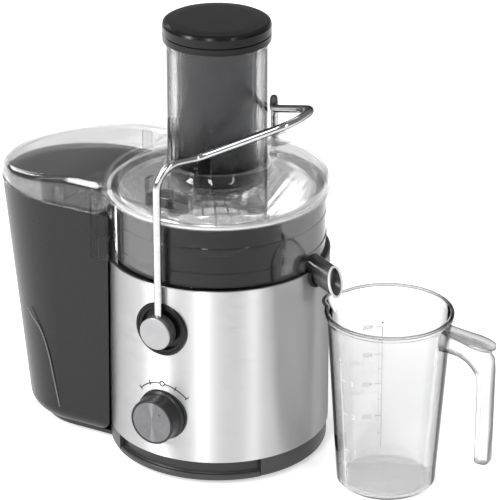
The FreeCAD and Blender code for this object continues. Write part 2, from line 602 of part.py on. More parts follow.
# ---- lid ----
def hood_solid(inset):
    """Hood over the pulp container, as a full solid; inset shrinks it all round.

    It is drawn with a level top, and the part beyond the crease is then sheared down to the far end.
    """
    half_w = BIN_TOP_W + 1 - inset
    end_rx = BIN_TOP_RX + 1 - inset
    x_right = -50.0
    z_low = BIN_Z1 - 30
    rear, front = V(x_right, half_w, z_low), V(x_right, -half_w, z_low)
    outline = Part.Wire([Part.LineSegment(rear, V(BIN_END_X, half_w, z_low)).toShape(),
                         end_curve(half_w, BIN_END_X, end_rx, z_low),
                         Part.LineSegment(V(BIN_END_X, -half_w, z_low), front).toShape(),
                         Part.LineSegment(front, rear).toShape()])
    top_z = LID_EDGE_Z - inset
    prism = Part.Face(outline).extrude(V(0, 0, top_z - z_low))
    prism = rounded(prism, HOOD_ROUND - inset,
                    lambda e: e.BoundBox.ZMin > top_z - 1 and e.BoundBox.XMin < x_right - 1)
    near = prism.common(block(HOOD_CREASE_X, 0, -150, 150, 0, 400))
    far = prism.common(block(-300, HOOD_CREASE_X, -150, 150, 0, 400))
    fall = (LID_EDGE_Z - HOOD_END_Z) / (HOOD_CREASE_X - SET_X0)
    shear = FreeCAD.Matrix(1, 0, 0, 0, 0, 1, 0, 0, fall, 0, 1, -fall * HOOD_CREASE_X)
    far = far.transformGeometry(shear)
    return near.fuse(far).common(block(-300, 0, -150, 150, BIN_Z1 + HOOD_GAP - inset, 400))


def lid_outside():
    """Round part of the lid as a full solid."""
    return spun([(0, LID_Z0), (LID_R, LID_Z0), (LID_R, LID_EDGE_Z - 4), (LID_R - 1.2, LID_EDGE_Z - 1.2),
                 (LID_R - 4, LID_EDGE_Z), (CHUTE_R + 9, LID_TOP_Z), (CHUTE_R + 3, LID_TOP_Z + 2.5),
                 (CHUTE_R, LID_TOP_Z + 8), (0, LID_TOP_Z + 8)])


def lid_inside():
    inner = LID_R - LID_T
    return spun([(0, LID_Z0 - 1), (inner, LID_Z0 - 1), (inner, LID_EDGE_Z - 4.5),
                 (inner - 3, LID_EDGE_Z - LID_T), (CHUTE_R + 1, LID_TOP_Z - LID_T), (0, LID_TOP_Z - LID_T)])


def pulp_way():
    """Way for the pulp from the basket's rim into the hood."""
    return block(-LID_R - 4, -LID_R + 20, -PULP_HALF_W, PULP_HALF_W, PULP_Z0, PULP_Z1)


def lid_cover():
    guides = [bail_guide(), to_rear(bail_guide())]
    shell = fuse([lid_outside().cut(lid_inside())] + guides)
    return shell.cut(pulp_way()).cut(disc(CHUTE_R, 0, 300))


def lid_hood():
    """Hood of the lid over the container, with the skirt that closes it towards the bowl."""
    skirt = ring(LID_R + 0.4, LID_R - LID_T + 0.2, BIN_Z1 + HOOD_GAP, LID_Z0 + 1)
    skirt = skirt.common(block(-LID_R - 1, -LID_R * 0.62, -BIN_TOP_W, BIN_TOP_W, 0, 300))
    shell = hood_solid(0).cut(hood_solid(LID_T).cut(disc(LID_R + 0.4, 0, 300)))
    shell = shell.cut(disc(LID_R - 0.1, 0, LID_Z0 + 1))
    return fuse([shell, skirt, neck_tab()]).cut(lid_outside()).cut(pulp_way())


def neck_tab():
    """Ribbed tongue that hangs in front of the container's corner and follows the body."""
    y0, y1 = -BIN_TOP_W - 4.7, -BIN_TOP_W - 2.3
    flat = block(NECK_X0, NECK_X1, y0, y1, NECK_Z0, NECK_Z1)
    bend = ring(LID_R + 0.7, LID_R - 1.7, NECK_Z0, NECK_Z1)
    bend = bend.common(block(NECK_X1 - 1, NECK_X1 + 5, -LID_R, y1, 0, 300))
    bridge = block(NECK_X0, NECK_X0 + 14, y0, -BIN_TOP_W - 0.5, NECK_Z1 - 6, NECK_Z1)
    ribs = [block(NECK_X0 + x, NECK_X0 + x + 1.4, y0 - 1.4, y1, NECK_Z0 + 3, NECK_Z1) for x in (0, 8, 16)]
    return fuse([flat, bend, bridge] + ribs)


def bail_guide():
    """Moulded stop for the closed bail: a half-round pad and an upright post beside it."""
    centre_x, front_y = 3.0, -LID_R + 6
    pad = disc(GUIDE_R, LID_EDGE_Z - 1, GUIDE_Z1, centre_x, front_y)
    pad = pad.common(block(-LID_R, LID_R, front_y, 0, 0, 300))
    pad = rounded(pad, 1.5, lambda e: e.BoundBox.ZMin > GUIDE_Z1 - 1)
    post_x = centre_x - GUIDE_R
    post = block(post_x, post_x + 6, front_y, front_y + 9, LID_EDGE_Z - 1, GUIDE_POST_Z1)
    return fuse([pad, post])


def feed_chute():
    flare = spun([(CHUTE_BORE, CHUTE_Z1 - 6), (CHUTE_R, CHUTE_Z1 - 6), (CHUTE_R + 1.2, CHUTE_Z1 - 2.5),
                  (CHUTE_R + 1.2, CHUTE_Z1), (CHUTE_BORE, CHUTE_Z1)])
    return fuse([ring(CHUTE_R, CHUTE_BORE, CHUTE_Z0, CHUTE_Z1), flare])


def lid_gasket():
    return ring(LID_R - LID_T, LID_R - LID_T - 3.2, LID_Z0, LID_Z0 + 1.6)


# ---- pusher ----
def pusher_body():
    inner = PUSHER_R - PUSHER_T
    return spun([(0, PUSHER_Z0), (PUSHER_R - 2, PUSHER_Z0), (PUSHER_R, PUSHER_Z0 + 2),
                 (PUSHER_R, PUSHER_LINE_Z - 0.6),
                 (PUSHER_R - 0.5, PUSHER_LINE_Z), (PUSHER_R, PUSHER_LINE_Z + 0.6), (PUSHER_R, CHUTE_Z1 + 0.3),
                 (inner, CHUTE_Z1 + 0.3), (inner, PUSHER_Z0 + 3), (0, PUSHER_Z0 + 3)])


def pusher_cap():
    z0 = CHUTE_Z1 + 0.3
    return spun([(0, z0), (CAP_R, z0), (CAP_R, z0 + 5.4), (CAP_R - 0.9, z0 + 6), (CAP_R, z0 + 6.6),
                 (CAP_R, z0 + CAP_H - 4.5), (CAP_R - 1, z0 + CAP_H - 2.2), (CAP_R - 3.4, z0 + CAP_H - 1),
                 (CAP_R - 12, z0 + CAP_H - 0.2), (0, z0 + CAP_H)])


# ---- pulp container ----
def pulp_container():
    outer = Part.makeLoft([plan_wire(BIN_BOTTOM_W, BIN_END_X, BIN_BOTTOM_RX, BIN_SADDLE_R, BIN_Z0),
                           plan_wire(BIN_TOP_W, BIN_END_X, BIN_TOP_RX, BIN_SADDLE_R, BIN_Z1)], True, True)
    inner = Part.makeLoft([plan_wire(BIN_BOTTOM_W - BIN_T, BIN_END_X, BIN_BOTTOM_RX - BIN_T,
                                     BIN_SADDLE_R + BIN_T, BIN_Z0 + 2.6),
                           plan_wire(BIN_TOP_W - BIN_T, BIN_END_X, BIN_TOP_RX - BIN_T,
                                     BIN_SADDLE_R + BIN_T, BIN_Z1 + 1)], True, True)
    outer = rounded(outer, BIN_BOTTOM_ROUND, lambda e: e.BoundBox.ZMax < BIN_Z0 + 0.1)
    inner = rounded(inner, BIN_BOTTOM_ROUND - BIN_T, lambda e: e.BoundBox.ZMax < BIN_Z0 + 2.7)
    return outer.cut(inner)


# ---- jug ----
def jug_outside():
    body = spun([(0, 0), (JUG_BASE_R - 3, 0), (JUG_BASE_R, 3), (JUG_TOP_R - 1, JUG_H - 8),
                 (JUG_TOP_R, JUG_H - 5), (JUG_TOP_R + 1, JUG_H - 4), (JUG_TOP_R + 1, JUG_H), (0, JUG_H)])
    return fuse([body, pour_lip(LIP_R, JUG_H)])


def pour_lip(top_r, z1):
    """Upright cone that widens out of the wall towards -X and makes the pouring lip."""
    centre_x = LIP_R - JUG_TOP_R - JUG_LIP
    return Part.makeCone(0.5, top_r, z1 - JUG_H + LIP_H, V(centre_x, 0, JUG_H - LIP_H), UP)


def jug_shell():
    inner_r = JUG_TOP_R - JUG_T
    hollow = spun([(0, 3), (JUG_BASE_R - JUG_T - 3, 3), (JUG_BASE_R - JUG_T, 6), (inner_r, JUG_H - 5),
                   (inner_r, JUG_H + 1), (0, JUG_H + 1)])
    jug = jug_outside().cut(hollow).cut(pour_lip(LIP_R - JUG_T, JUG_H + 1))
    jug.translate(V(JUG_X, 0, 0))
    return jug


def thumb_rest():
    """Leaf-shaped plate that falls gently outwards from the rim."""
    x0 = JUG_X + JUG_TOP_R - 3
    x_tip = x0 + (HANDLE_END_X - x0) / cos(radians(THUMB_SLOPE))
    x1 = x_tip - THUMB_HALF_W
    z0 = JUG_H - 3 - THUMB_T
    tip = Part.Arc(V(x1, THUMB_HALF_W, z0), V(x_tip, 0, z0), V(x1, -THUMB_HALF_W, z0)).toShape()
    neck = [V(x1, -THUMB_HALF_W, z0), V(x0, -GRIP_W / 2, z0), V(x0, GRIP_W / 2, z0), V(x1, THUMB_HALF_W, z0)]
    sides = [Part.LineSegment(a, b).toShape() for a, b in zip(neck, neck[1:])]
    plate = Part.Face(Part.Wire([tip] + sides)).extrude(V(0, 0, THUMB_T))
    return turned(plate, THUMB_SLOPE, V(x0, 0, JUG_H - 3), V(0, 1, 0))


def jug_handle():
    """Open grip under the thumb rest, joined to the wall by a round root."""
    x_wall = JUG_X + JUG_TOP_R - 5
    x_out = HANDLE_END_X - 2
    x_in = x_out - GRIP_T
    top_z = JUG_H - 6
    out_z = top_z - (x_out - x_wall) * tan(radians(THUMB_SLOPE))
    root_x, root_low = x_in - GRIP_ROOT_R, GRIP_ROOT_Z - GRIP_ROOT_R
    bend = GRIP_ROOT_R * sin(pi / 4)
    root = Part.Arc(V(x_in, 0, root_low), V(root_x + bend, 0, root_low + bend), V(root_x, 0, GRIP_ROOT_Z))
    corners = [V(root_x, 0, GRIP_ROOT_Z), V(x_wall, 0, GRIP_ROOT_Z), V(x_wall, 0, top_z), V(x_out, 0, out_z),
               V(x_out, 0, GRIP_FOOT_Z), V(x_in, 0, GRIP_FOOT_Z), V(x_in, 0, root_low)]
    sides = [Part.LineSegment(a, b).toShape() for a, b in zip(corners, corners[1:])]
    strap = Part.Face(Part.Wire([root.toShape()] + sides)).extrude(V(0, GRIP_W, 0))
    strap.translate(V(0, -GRIP_W / 2, 0))
    strap = rounded(strap, 4, lambda e: e.BoundBox.ZMax < GRIP_FOOT_Z + 0.1 and e.BoundBox.YLength > 1)
    outside = jug_outside()
    outside.translate(V(JUG_X, 0, 0))
    return fuse([strap, thumb_rest()]).cut(outside)


NODES = {
    "base_tray": base_tray, "rubber_feet": feet, "base_screws": base_screws,
    "motor_housing": motor_housing, "steel_sleeve": steel_sleeve, "spout_grommet": spout_grommet,
    "front_bezel": front_bezel, "rear_bezel": lambda: to_rear(front_bezel()),
    "knob_seat": knob_seat, "dial_marks": dial_marks, "speed_switch": speed_switch,
    "cord_grommet": cord_grommet, "circuit_board": circuit_board,
    "interlock_switch": interlock_switch, "interlock_plunger": interlock_plunger,
    "motor_stator": motor_stator, "stator_coils": stator_coils,
    "lower_bracket": lambda: motor_bracket(LOW_BRACKET_Z, LOW_BRACKET_Z),
    "upper_bracket": lambda: motor_bracket(TOP_BRACKET_Z, TOP_BEARING_Z),
    "lower_bearing": lambda: bearing(LOW_BRACKET_Z), "upper_bearing": lambda: bearing(TOP_BEARING_Z),
    "motor_bolts": motor_bolts, "motor_mounts": motor_mounts, "brush_holders": brush_holders,
    "carbon_brushes": carbon_brushes, "shaft_seal": shaft_seal, "motor_shaft": motor_shaft,
    "rotor_core": rotor_core, "rotor_windings": rotor_windings, "commutator": commutator,
    "cooling_fan": cooling_fan, "drive_coupling": drive_coupling,
    "bail_rod": bail_rod, "front_hub": front_hub, "rear_hub": lambda: to_rear(front_hub()),
    "front_pin": front_pin, "rear_pin": lambda: to_rear(front_pin()),
    "knob_skirt": knob_skirt, "knob_face": knob_face, "knob_spindle": knob_spindle,
    "juice_bowl": juice_bowl, "bowl_seal": bowl_seal,
    "basket_mesh": basket_mesh, "basket_rim": basket_rim,
    "grater_disc": grater_disc, "basket_hub": basket_hub,
    "lid_cover": lid_cover, "lid_hood": lid_hood, "feed_chute": feed_chute, "lid_gasket": lid_gasket,
    "pusher_body": pusher_body, "pusher_cap": pusher_cap, "pulp_container": pulp_container,
    "jug_shell": jug_shell, "jug_handle": jug_handle,
}

os.makedirs("parts", exist_ok=True)
for name, build in NODES.items():
    save(name, build())
print("origin from the motor axis", ORIGIN)
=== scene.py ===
import json
from math import ceil, cos, degrees, pi, radians, sin, sqrt

import bmesh
import bpy
from mathutils import Matrix, Vector

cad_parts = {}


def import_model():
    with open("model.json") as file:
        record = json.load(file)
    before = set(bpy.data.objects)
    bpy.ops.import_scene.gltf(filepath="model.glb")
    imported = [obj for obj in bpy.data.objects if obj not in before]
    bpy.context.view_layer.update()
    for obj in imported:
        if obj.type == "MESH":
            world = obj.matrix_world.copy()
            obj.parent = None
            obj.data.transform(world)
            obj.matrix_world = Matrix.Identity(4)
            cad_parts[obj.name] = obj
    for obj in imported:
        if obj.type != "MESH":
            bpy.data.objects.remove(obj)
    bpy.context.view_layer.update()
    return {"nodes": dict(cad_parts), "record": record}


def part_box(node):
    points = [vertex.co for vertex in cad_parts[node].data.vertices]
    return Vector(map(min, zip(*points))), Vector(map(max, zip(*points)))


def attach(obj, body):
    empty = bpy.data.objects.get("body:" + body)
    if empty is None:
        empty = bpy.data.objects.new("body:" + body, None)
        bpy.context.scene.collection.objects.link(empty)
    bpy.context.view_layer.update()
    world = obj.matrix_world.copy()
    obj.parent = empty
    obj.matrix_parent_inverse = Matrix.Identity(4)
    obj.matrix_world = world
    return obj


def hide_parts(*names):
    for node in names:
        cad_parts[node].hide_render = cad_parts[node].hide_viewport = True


# Centrifugal juicer. Lengths below are in millimetres from the motor axis, and world() turns
# them into the frame's metres. Angles round the motor axis start at +X and go towards +Y.

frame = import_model()
NODES = frame["nodes"]
MM = 0.001
MM3_PER_ML = 1000
CUP_ML = 240

sleeve_low, sleeve_high = (Vector(c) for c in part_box("steel_sleeve"))
AXIS_X = (sleeve_low.x + sleeve_high.x) / 2
AXIS_Y = (sleeve_low.y + sleeve_high.y) / 2

# ---- driving dimensions ----
STEPS = 240                       # angular steps of the large turned shapes
FRONT_AND_REAR = ((-1, "front"), (1, "rear"))    # sign of Y, and the word for that side

SLEEVE_R = (sleeve_high.x - sleeve_low.x) / 2 / MM
SKIRT_R, SKIRT_INNER_R = SLEEVE_R - 1.5, 94.3
SKIRT_Z0, SKIRT_Z1 = 4.4, 23.3
SKIRT_ROUND, SKIRT_EDGE = 3.0, 0.8
RECESS_FROM, RECESS_TO = -125.0, -38.0     # front recess of the base skirt
RECESS_LIP_H, RECESS_LIP_GAP = 5.6, 0.3    # low lip across the recess, and its gap in degrees

BEZEL_R, BEZEL_CUP_R = 25.0, 19.4
BEZEL_PROUD, BEZEL_STEP = 0.75, 0.6        # beyond the sleeve, and down from its raised edge
BEZEL_BOSS_R, BEZEL_BORE_R = 8.0, 4.5
BEZEL_FLOOR, BEZEL_FOOT = SLEEVE_R - 4.0, SLEEVE_R - 7.0

LID_R, LID_T = 99.0, 2.4
LID_Z0, LID_EDGE_Z, LID_TOP_Z = 247.3, 261.5, 264.5
LID_RIM_H = 5.0                   # upright part of the lid's side
CROWN_R0, CROWN_R1 = 53.0, 96.0   # the lid's top rises between these radii
HOOD_Z0 = 231.8
CHUTE_R = 44.05
CHUTE_FILLET = [(49.5, 0.6), (46.4, 2.6), (44.8, 6.0), (CHUTE_R, 11.0)]    # radius, height over the lid
BIN_HALF_W, BIN_END_X, BIN_END_RX = 76.0, -127.0, 88.0
HOOD_CREASE_X, HOOD_END_X, HOOD_END_Z = -108.0, -215.0, 245.0
HOOD_CREASE_SOFT = 14.0           # half width of the bend at the crease
HOOD_SKIRT_SWEEP, HOOD_SKIRT_IN, HOOD_SKIRT_OUT = 102.0, 1.4, 1.0
LID_ROUND, HOOD_ROUND = 4.5, 10.0
HOOD_BLEND = 10.0                 # the lid's section turns into the hood's over this reach
JUNCTION_BLEND = 12.0             # how softly the hood's side runs into the round lid
FLANGE, FLANGE_H, FLANGE_SLOPE = 1.2, 2.2, 0.8

BEAD_CORNERS = [(-57, 243), (-64, 248.5), (-74, 253.5), (-84, 255), (-93, 252.5), (-102, 247), (-110, 240)]
BEAD_R, BEAD_PROUD = 1.1, 0.6
TAB_X0, TAB_X1, TAB_TOP_Z = -123.0, -113.0, 250.0
NECK_RIBS, NECK_RIB_W = (-82, -74, -66), 1.6
NECK_X1, NECK_Z0, NECK_Z1 = -61.0, 191.5, 249.5
NECK_R0, NECK_R1 = 98.3, 100.7    # the tongue's part that follows the bowl
PAD_X, PAD_Y, PAD_R, PAD_TOP_Z = 3.0, 93.5, 21.0, 270.5
POST_X, POST_Y, POST_TOP_Z = (-18.0, -12.0), (85.0, 94.0), 285.5
GUIDE_SINK = 1.5                  # depth of pads and posts below the lid's edge

BASKET_FLOOR_R, BASKET_FLOOR_Z, BASKET_FLOOR_T = 43.5, 207.2, 1.2
BASKET_RIM_R, BASKET_RIM_Z, BASKET_T = 85.5, 243.0, 0.8
BASKET_FOOT = 0.6                 # the cone's outside starts this far below its inside
BASKET_STEPS, BASKET_FACETS, BASKET_PRESS = 360, 36, 0.7

KNOB_FOOT_R, KNOB_R, KNOB_BORE_R = 23.0, 21.0, 3.05
KNOB_POCKET_R, KNOB_POCKET = 18.9, 1.6     # shallow pocket of the metal face

LINE_CORNERS = [(-161, 66.2, 118), (-155, 68, 111), (-146, 69, 100), (-138.5, 69.8, 80),
                (-133, 69, 50), (-129, 68, 26)]
LINE_R = 0.7

JUG_X, JUG_H = 171.0, 165.0
JUG_BASE_R, JUG_TOP_R = 44.0, 55.0
JUG_WALL, JUG_FLOOR = 2.2, 3.0
JUG_TAPER_H, PRINT_GAP = JUG_H - 8.0, 0.15         # the outer wall's taper, and the print's room on it
POUR_X, POUR_R, POUR_BLEND = -42.0, 20.0, 3.0      # pouring lip: middle, radius, soft corner
RIM_W, RIM_H, RIM_SINK = 1.5, 1.3, 0.9     # half width and half height of the rim's bead
SCALE_FOOT_Z, SCALE_DOT_UP, SCALE_LINE = 6.0, 4.0, 0.35
LONG_TICK, SHORT_TICK, TICK_LINE = 3.2, 1.8, 0.3   # half lengths and half width
PRINT_LOW, PRINT_HIGH = 0.02, 0.14         # heights of the print above the jug's wall
NUMBER_SIZE, NUMBER_GAP = 6.5, 7.0

GRIP_HALF_W, GRIP_X0, GRIP_X1, GRIP_FOOT_Z = 8.0, 258.0, 271.0, 40.2
THUMB_X0, THUMB_X1, THUMB_SINK, THUMB_SLOPE = JUG_X + 54.0, 272.0, 5.6, 10.0

SPOUT_X, SPOUT_Z, SPOUT_SLOPE = 93.0, 191.0, 23.5
SPOUT_END_X, SPOUT_CUT = 118.0, -13.0
SPOUT_LIP_R, SPOUT_LIP_T = 10.9, 1.15
SPOUT_SHADE_FROM, SPOUT_SHADE_TO = 99.0, 112.0       # painted shade: the bowl's clear plastic turns opaque and dark along X at the spout's mouth


# ---- camera and light ----
VIEW_AZIMUTH, VIEW_ELEVATION = 29.0, 24.2
VIEW_DISTANCE = 2.355
VIEW_TARGET = Vector((AXIS_X + 0.0308, AXIS_Y, 0.1916))
VIEW_LENS = 191.3
LIGHT_TARGET = Vector((AXIS_X, AXIS_Y, 0.2))
FLOOR_HALF = 12.0


def towards(azimuth, elevation):
    """Unit vector from the object to a place at that azimuth (0 is in front, -Y) and elevation."""
    a, e = radians(azimuth), radians(elevation)
    return Vector((sin(a) * cos(e), -cos(a) * cos(e), sin(e)))


def aim(obj, place, target):
    """Puts a camera or light at a place, looking at the target."""
    obj.location = place
    obj.rotation_euler = (target - place).to_track_quat("-Z", "Y").to_euler()


def add_camera():
    """Camera that shows the juicer from the picture's side."""
    data = bpy.data.cameras.new("camera")
    data.lens = VIEW_LENS
    camera = bpy.data.objects.new("camera", data)
    aim(camera, VIEW_TARGET + towards(VIEW_AZIMUTH, VIEW_ELEVATION) * VIEW_DISTANCE, VIEW_TARGET)
    bpy.context.collection.objects.link(camera)
    bpy.context.scene.camera = camera


def new_light(name, width, height, power):
    """Rectangular light, not placed yet."""
    data = bpy.data.lights.new(name, "AREA")
    data.shape = "RECTANGLE"
    data.size, data.size_y, data.energy = width, height, power
    light = bpy.data.objects.new(name, data)
    bpy.context.collection.objects.link(light)
    return light


def add_area_light(name, azimuth, elevation, distance, width, height, power):
    """Light in that direction from the juicer, turned to face it."""
    light = new_light(name, width, height, power)
    aim(light, LIGHT_TARGET + towards(azimuth, elevation) * distance, LIGHT_TARGET)


def add_strip_light(name, low, high, width, power, distance=2.2):
    """Long light between two (azimuth, elevation) directions."""
    start, end = (LIGHT_TARGET + towards(*spot) * distance for spot in (low, high))
    place = (start + end) / 2
    along, back = (end - start).normalized(), (place - LIGHT_TARGET).normalized()
    light = new_light(name, width, (end - start).length, power)
    turn = Matrix((along.cross(back), along, back)).transposed()
    light.matrix_world = Matrix.Translation(place) @ turn.to_4x4()


def add_lights():
    """Studio lights placed round the view, and a dim white surround."""
    add_area_light("key", VIEW_AZIMUTH - 16, 38, 2.2, 0.2, 2.4, 24)
    add_area_light("second", VIEW_AZIMUTH + 36, 30, 2.2, 0.15, 2.0, 9)
    add_area_light("left_back", VIEW_AZIMUTH - 141, 24, 2.2, 0.7, 0.8, 12)
    add_strip_light("shoulder", (-27, 13), (-58, 58), 0.36, 42)
    add_area_light("back", VIEW_AZIMUTH + 180, 55, 2.4, 1.4, 0.5, 6)
    surround = bpy.data.worlds.new("studio")
    surround.use_nodes = True
    background = surround.node_tree.nodes["Background"]
    background.inputs["Color"].default_value = (1, 1, 1, 1)
    background.inputs["Strength"].default_value = 0.3
    bpy.context.scene.world = surround
    bpy.context.scene.view_settings.view_transform = "Standard"


def add_floor():
    """White, faintly glowing floor; it is staging and no piece of the juicer."""
    mesh = bpy.data.meshes.new("floor")
    corners = [(x * FLOOR_HALF, y * FLOOR_HALF, 0) for x, y in ((-1, -1), (1, -1), (1, 1), (-1, 1))]
    mesh.from_pydata(corners, [], [(0, 1, 2, 3)])
    floor = bpy.data.objects.new("floor", mesh)
    bpy.context.collection.objects.link(floor)
    mesh.materials.append(make_material("floor_white", (0.97, 0.97, 0.97), 0.9, Emission_Strength=0.48))


# ---- materials ----
def make_material(name, color, roughness, metallic=0.0, **sockets):
    """Principled material; extra keywords set its sockets, with _ for a space."""
    material = bpy.data.materials.new(name)
    material.use_nodes = True
    shader = material.node_tree.nodes["Principled BSDF"]
    shader.inputs["Base Color"].default_value = (*color, 1)
    shader.inputs["Roughness"].default_value = roughness
    shader.inputs["Metallic"].default_value = metallic
    for socket, value in sockets.items():
        shader.inputs[socket.replace("_", " ")].default_value = value
    return material


def add_node(material, kind, **values):
    """New node in the material; keywords named like its sockets set them, others set attributes."""
    node = material.node_tree.nodes.new(kind)
    for key, value in values.items():
        socket = key.replace("_", " ")
        if socket in node.inputs:
            node.inputs[socket].default_value = value
        else:
            setattr(node, key, value)
    return node


def link(material, source, target):
    """Joins an output socket to an input socket."""
    material.node_tree.links.new(source, target)


def shader_of(material):
    """The material's Principled shader."""
    return material.node_tree.nodes["Principled BSDF"]


def add_grain(material, scale, stretch, strength, distance=0.0002, detail=4.0):
    """Fine bump from object-space noise, stretched by a factor along each axis."""
    place = add_node(material, "ShaderNodeTexCoord")
    mapping = add_node(material, "ShaderNodeMapping")
    mapping.inputs["Scale"].default_value = stretch
    noise = add_node(material, "ShaderNodeTexNoise", Scale=scale, Detail=detail)
    bump = add_node(material, "ShaderNodeBump", Strength=strength, Distance=distance)
    link(material, place.outputs["Object"], mapping.inputs["Vector"])
    link(material, mapping.outputs["Vector"], noise.inputs["Vector"])
    link(material, noise.outputs["Fac"], bump.inputs["Height"])
    link(material, bump.outputs["Normal"], shader_of(material).inputs["Normal"])
    return noise


def spread(material, source, low, high, source_low=0.3, source_high=0.7):
    """Maps a value onto the range low to high."""
    node = add_node(material, "ShaderNodeMapRange")
    node.inputs["From Min"].default_value = source_low
    node.inputs["From Max"].default_value = source_high
    node.inputs["To Min"].default_value = low
    node.inputs["To Max"].default_value = high
    link(material, source, node.inputs["Value"])
    return node.outputs["Result"]


def vary(material, noise, socket, low, high):
    """Drives a socket between two values from a noise."""
    link(material, spread(material, noise.outputs["Fac"], low, high), shader_of(material).inputs[socket])


def blend_color(material, factor, low, high):
    """Drives the base colour between two colours."""
    mix = add_node(material, "ShaderNodeMix", data_type="RGBA")
    colors = [s for s in mix.inputs if s.type == "RGBA"]
    colors[0].default_value = (*low, 1)
    colors[1].default_value = (*high, 1)
    link(material, factor, mix.inputs[0])
    result = [s for s in mix.outputs if s.type == "RGBA"][0]
    link(material, result, shader_of(material).inputs["Base Color"])


def plastic(name, color, roughness, grain=0.15, specular=0.32):
    """Opaque plastic or rubber with a fine moulded grain."""
    material = make_material(name, color, roughness, Specular_IOR_Level=specular)
    noise = add_grain(material, 900, (1, 1, 1), grain)
    vary(material, noise, "Roughness", roughness * 0.85, roughness * 1.15)
    blend_color(material, spread(material, noise.outputs["Fac"], 0, 1), [c * 0.92 for c in color],
                [c * 1.08 for c in color])
    return material


def clear(name, face, edge, alpha, edge_alpha, roughness=0.03, ior=1.45, rim=(0.35, 0.85)):
    """See-through plastic that is darker and denser where its surface is seen at a low angle. The darkening
    is partly the longer path through the wall and partly painted shade for the dark outline of a clear wall
    seen edge-on; a lighter edge colour is a painted highlight.
    """
    material = make_material(name, face, roughness, Transmission_Weight=1.0, IOR=ior)
    add_grain(material, 14, (1, 1, 1), 0.03, 0.001, 1.0)
    weight = add_node(material, "ShaderNodeLayerWeight", Blend=0.5)
    facing = weight.outputs["Facing"]
    # painted shade: the colour goes to the edge colour where the surface is seen edge-on
    blend_color(material, spread(material, facing, 0, 1, *rim), face, edge)
    link(material, spread(material, facing, alpha, edge_alpha, *rim), shader_of(material).inputs["Alpha"])
    return material


def shade_along_x(material, start, end, roughness):
    """Turns a clear plastic opaque and duller from start to end along X, as painted shade where its inside
    looks dark.
    """
    place = add_node(material, "ShaderNodeTexCoord")
    split = add_node(material, "ShaderNodeSeparateXYZ")
    link(material, place.outputs["Object"], split.inputs[0])
    along, shader = split.outputs["X"], shader_of(material)
    clean = shader.inputs["Roughness"].default_value
    link(material, spread(material, along, clean, roughness, start, end), shader.inputs["Roughness"])
    link(material, spread(material, along, 1.0, 0.0, start, end), shader.inputs["Transmission Weight"])
    solid = add_node(material, "ShaderNodeMath", operation="MAXIMUM")
    link(material, shader.inputs["Alpha"].links[0].from_socket, solid.inputs[0])
    link(material, spread(material, along, 0.0, 1.0, start, end), solid.inputs[1])
    link(material, solid.outputs[0], shader.inputs["Alpha"])


def brushed(name, color, roughness, scale, stretch, axis="Z", anisotropy=0.7, rotation=0.0, edge=None,
            grain=0.12, variation=0.1):
    """Metal with a fine grain; rotation turns its highlights, edge tints what it shows at low angles."""
    material = make_material(name, color, roughness, 1.0, Anisotropic=anisotropy,
                             Anisotropic_Rotation=rotation)
    if edge is not None:
        shader_of(material).inputs["Specular Tint"].default_value = (*edge, 1)
    noise = add_grain(material, scale, stretch, grain)
    vary(material, noise, "Roughness", roughness * 0.8, roughness * 1.2)
    blend_color(material, spread(material, noise.outputs["Fac"], 0, 1), [c * (1 - variation) for c in color],
                [min(1.0, c * (1 + variation)) for c in color])
    tangent = add_node(material, "ShaderNodeTangent", direction_type="RADIAL", axis=axis)
    link(material, tangent.outputs["Tangent"], shader_of(material).inputs["Tangent"])
    return material


def perforated(name, color, roughness):
    """Thin steel with rows of fine round holes."""
    material = brushed(name, color, roughness, 60, (1, 1, 10))
    place = add_node(material, "ShaderNodeTexCoord")
    cells = add_node(material, "ShaderNodeTexVoronoi", Scale=520.0, Randomness=0.0)
    link(material, place.outputs["Object"], cells.inputs["Vector"])
    shade = spread(material, cells.outputs["Distance"], 0, 1, 0.16, 0.22)
    blend_color(material, shade, [c * 0.45 for c in color], color)
    return material


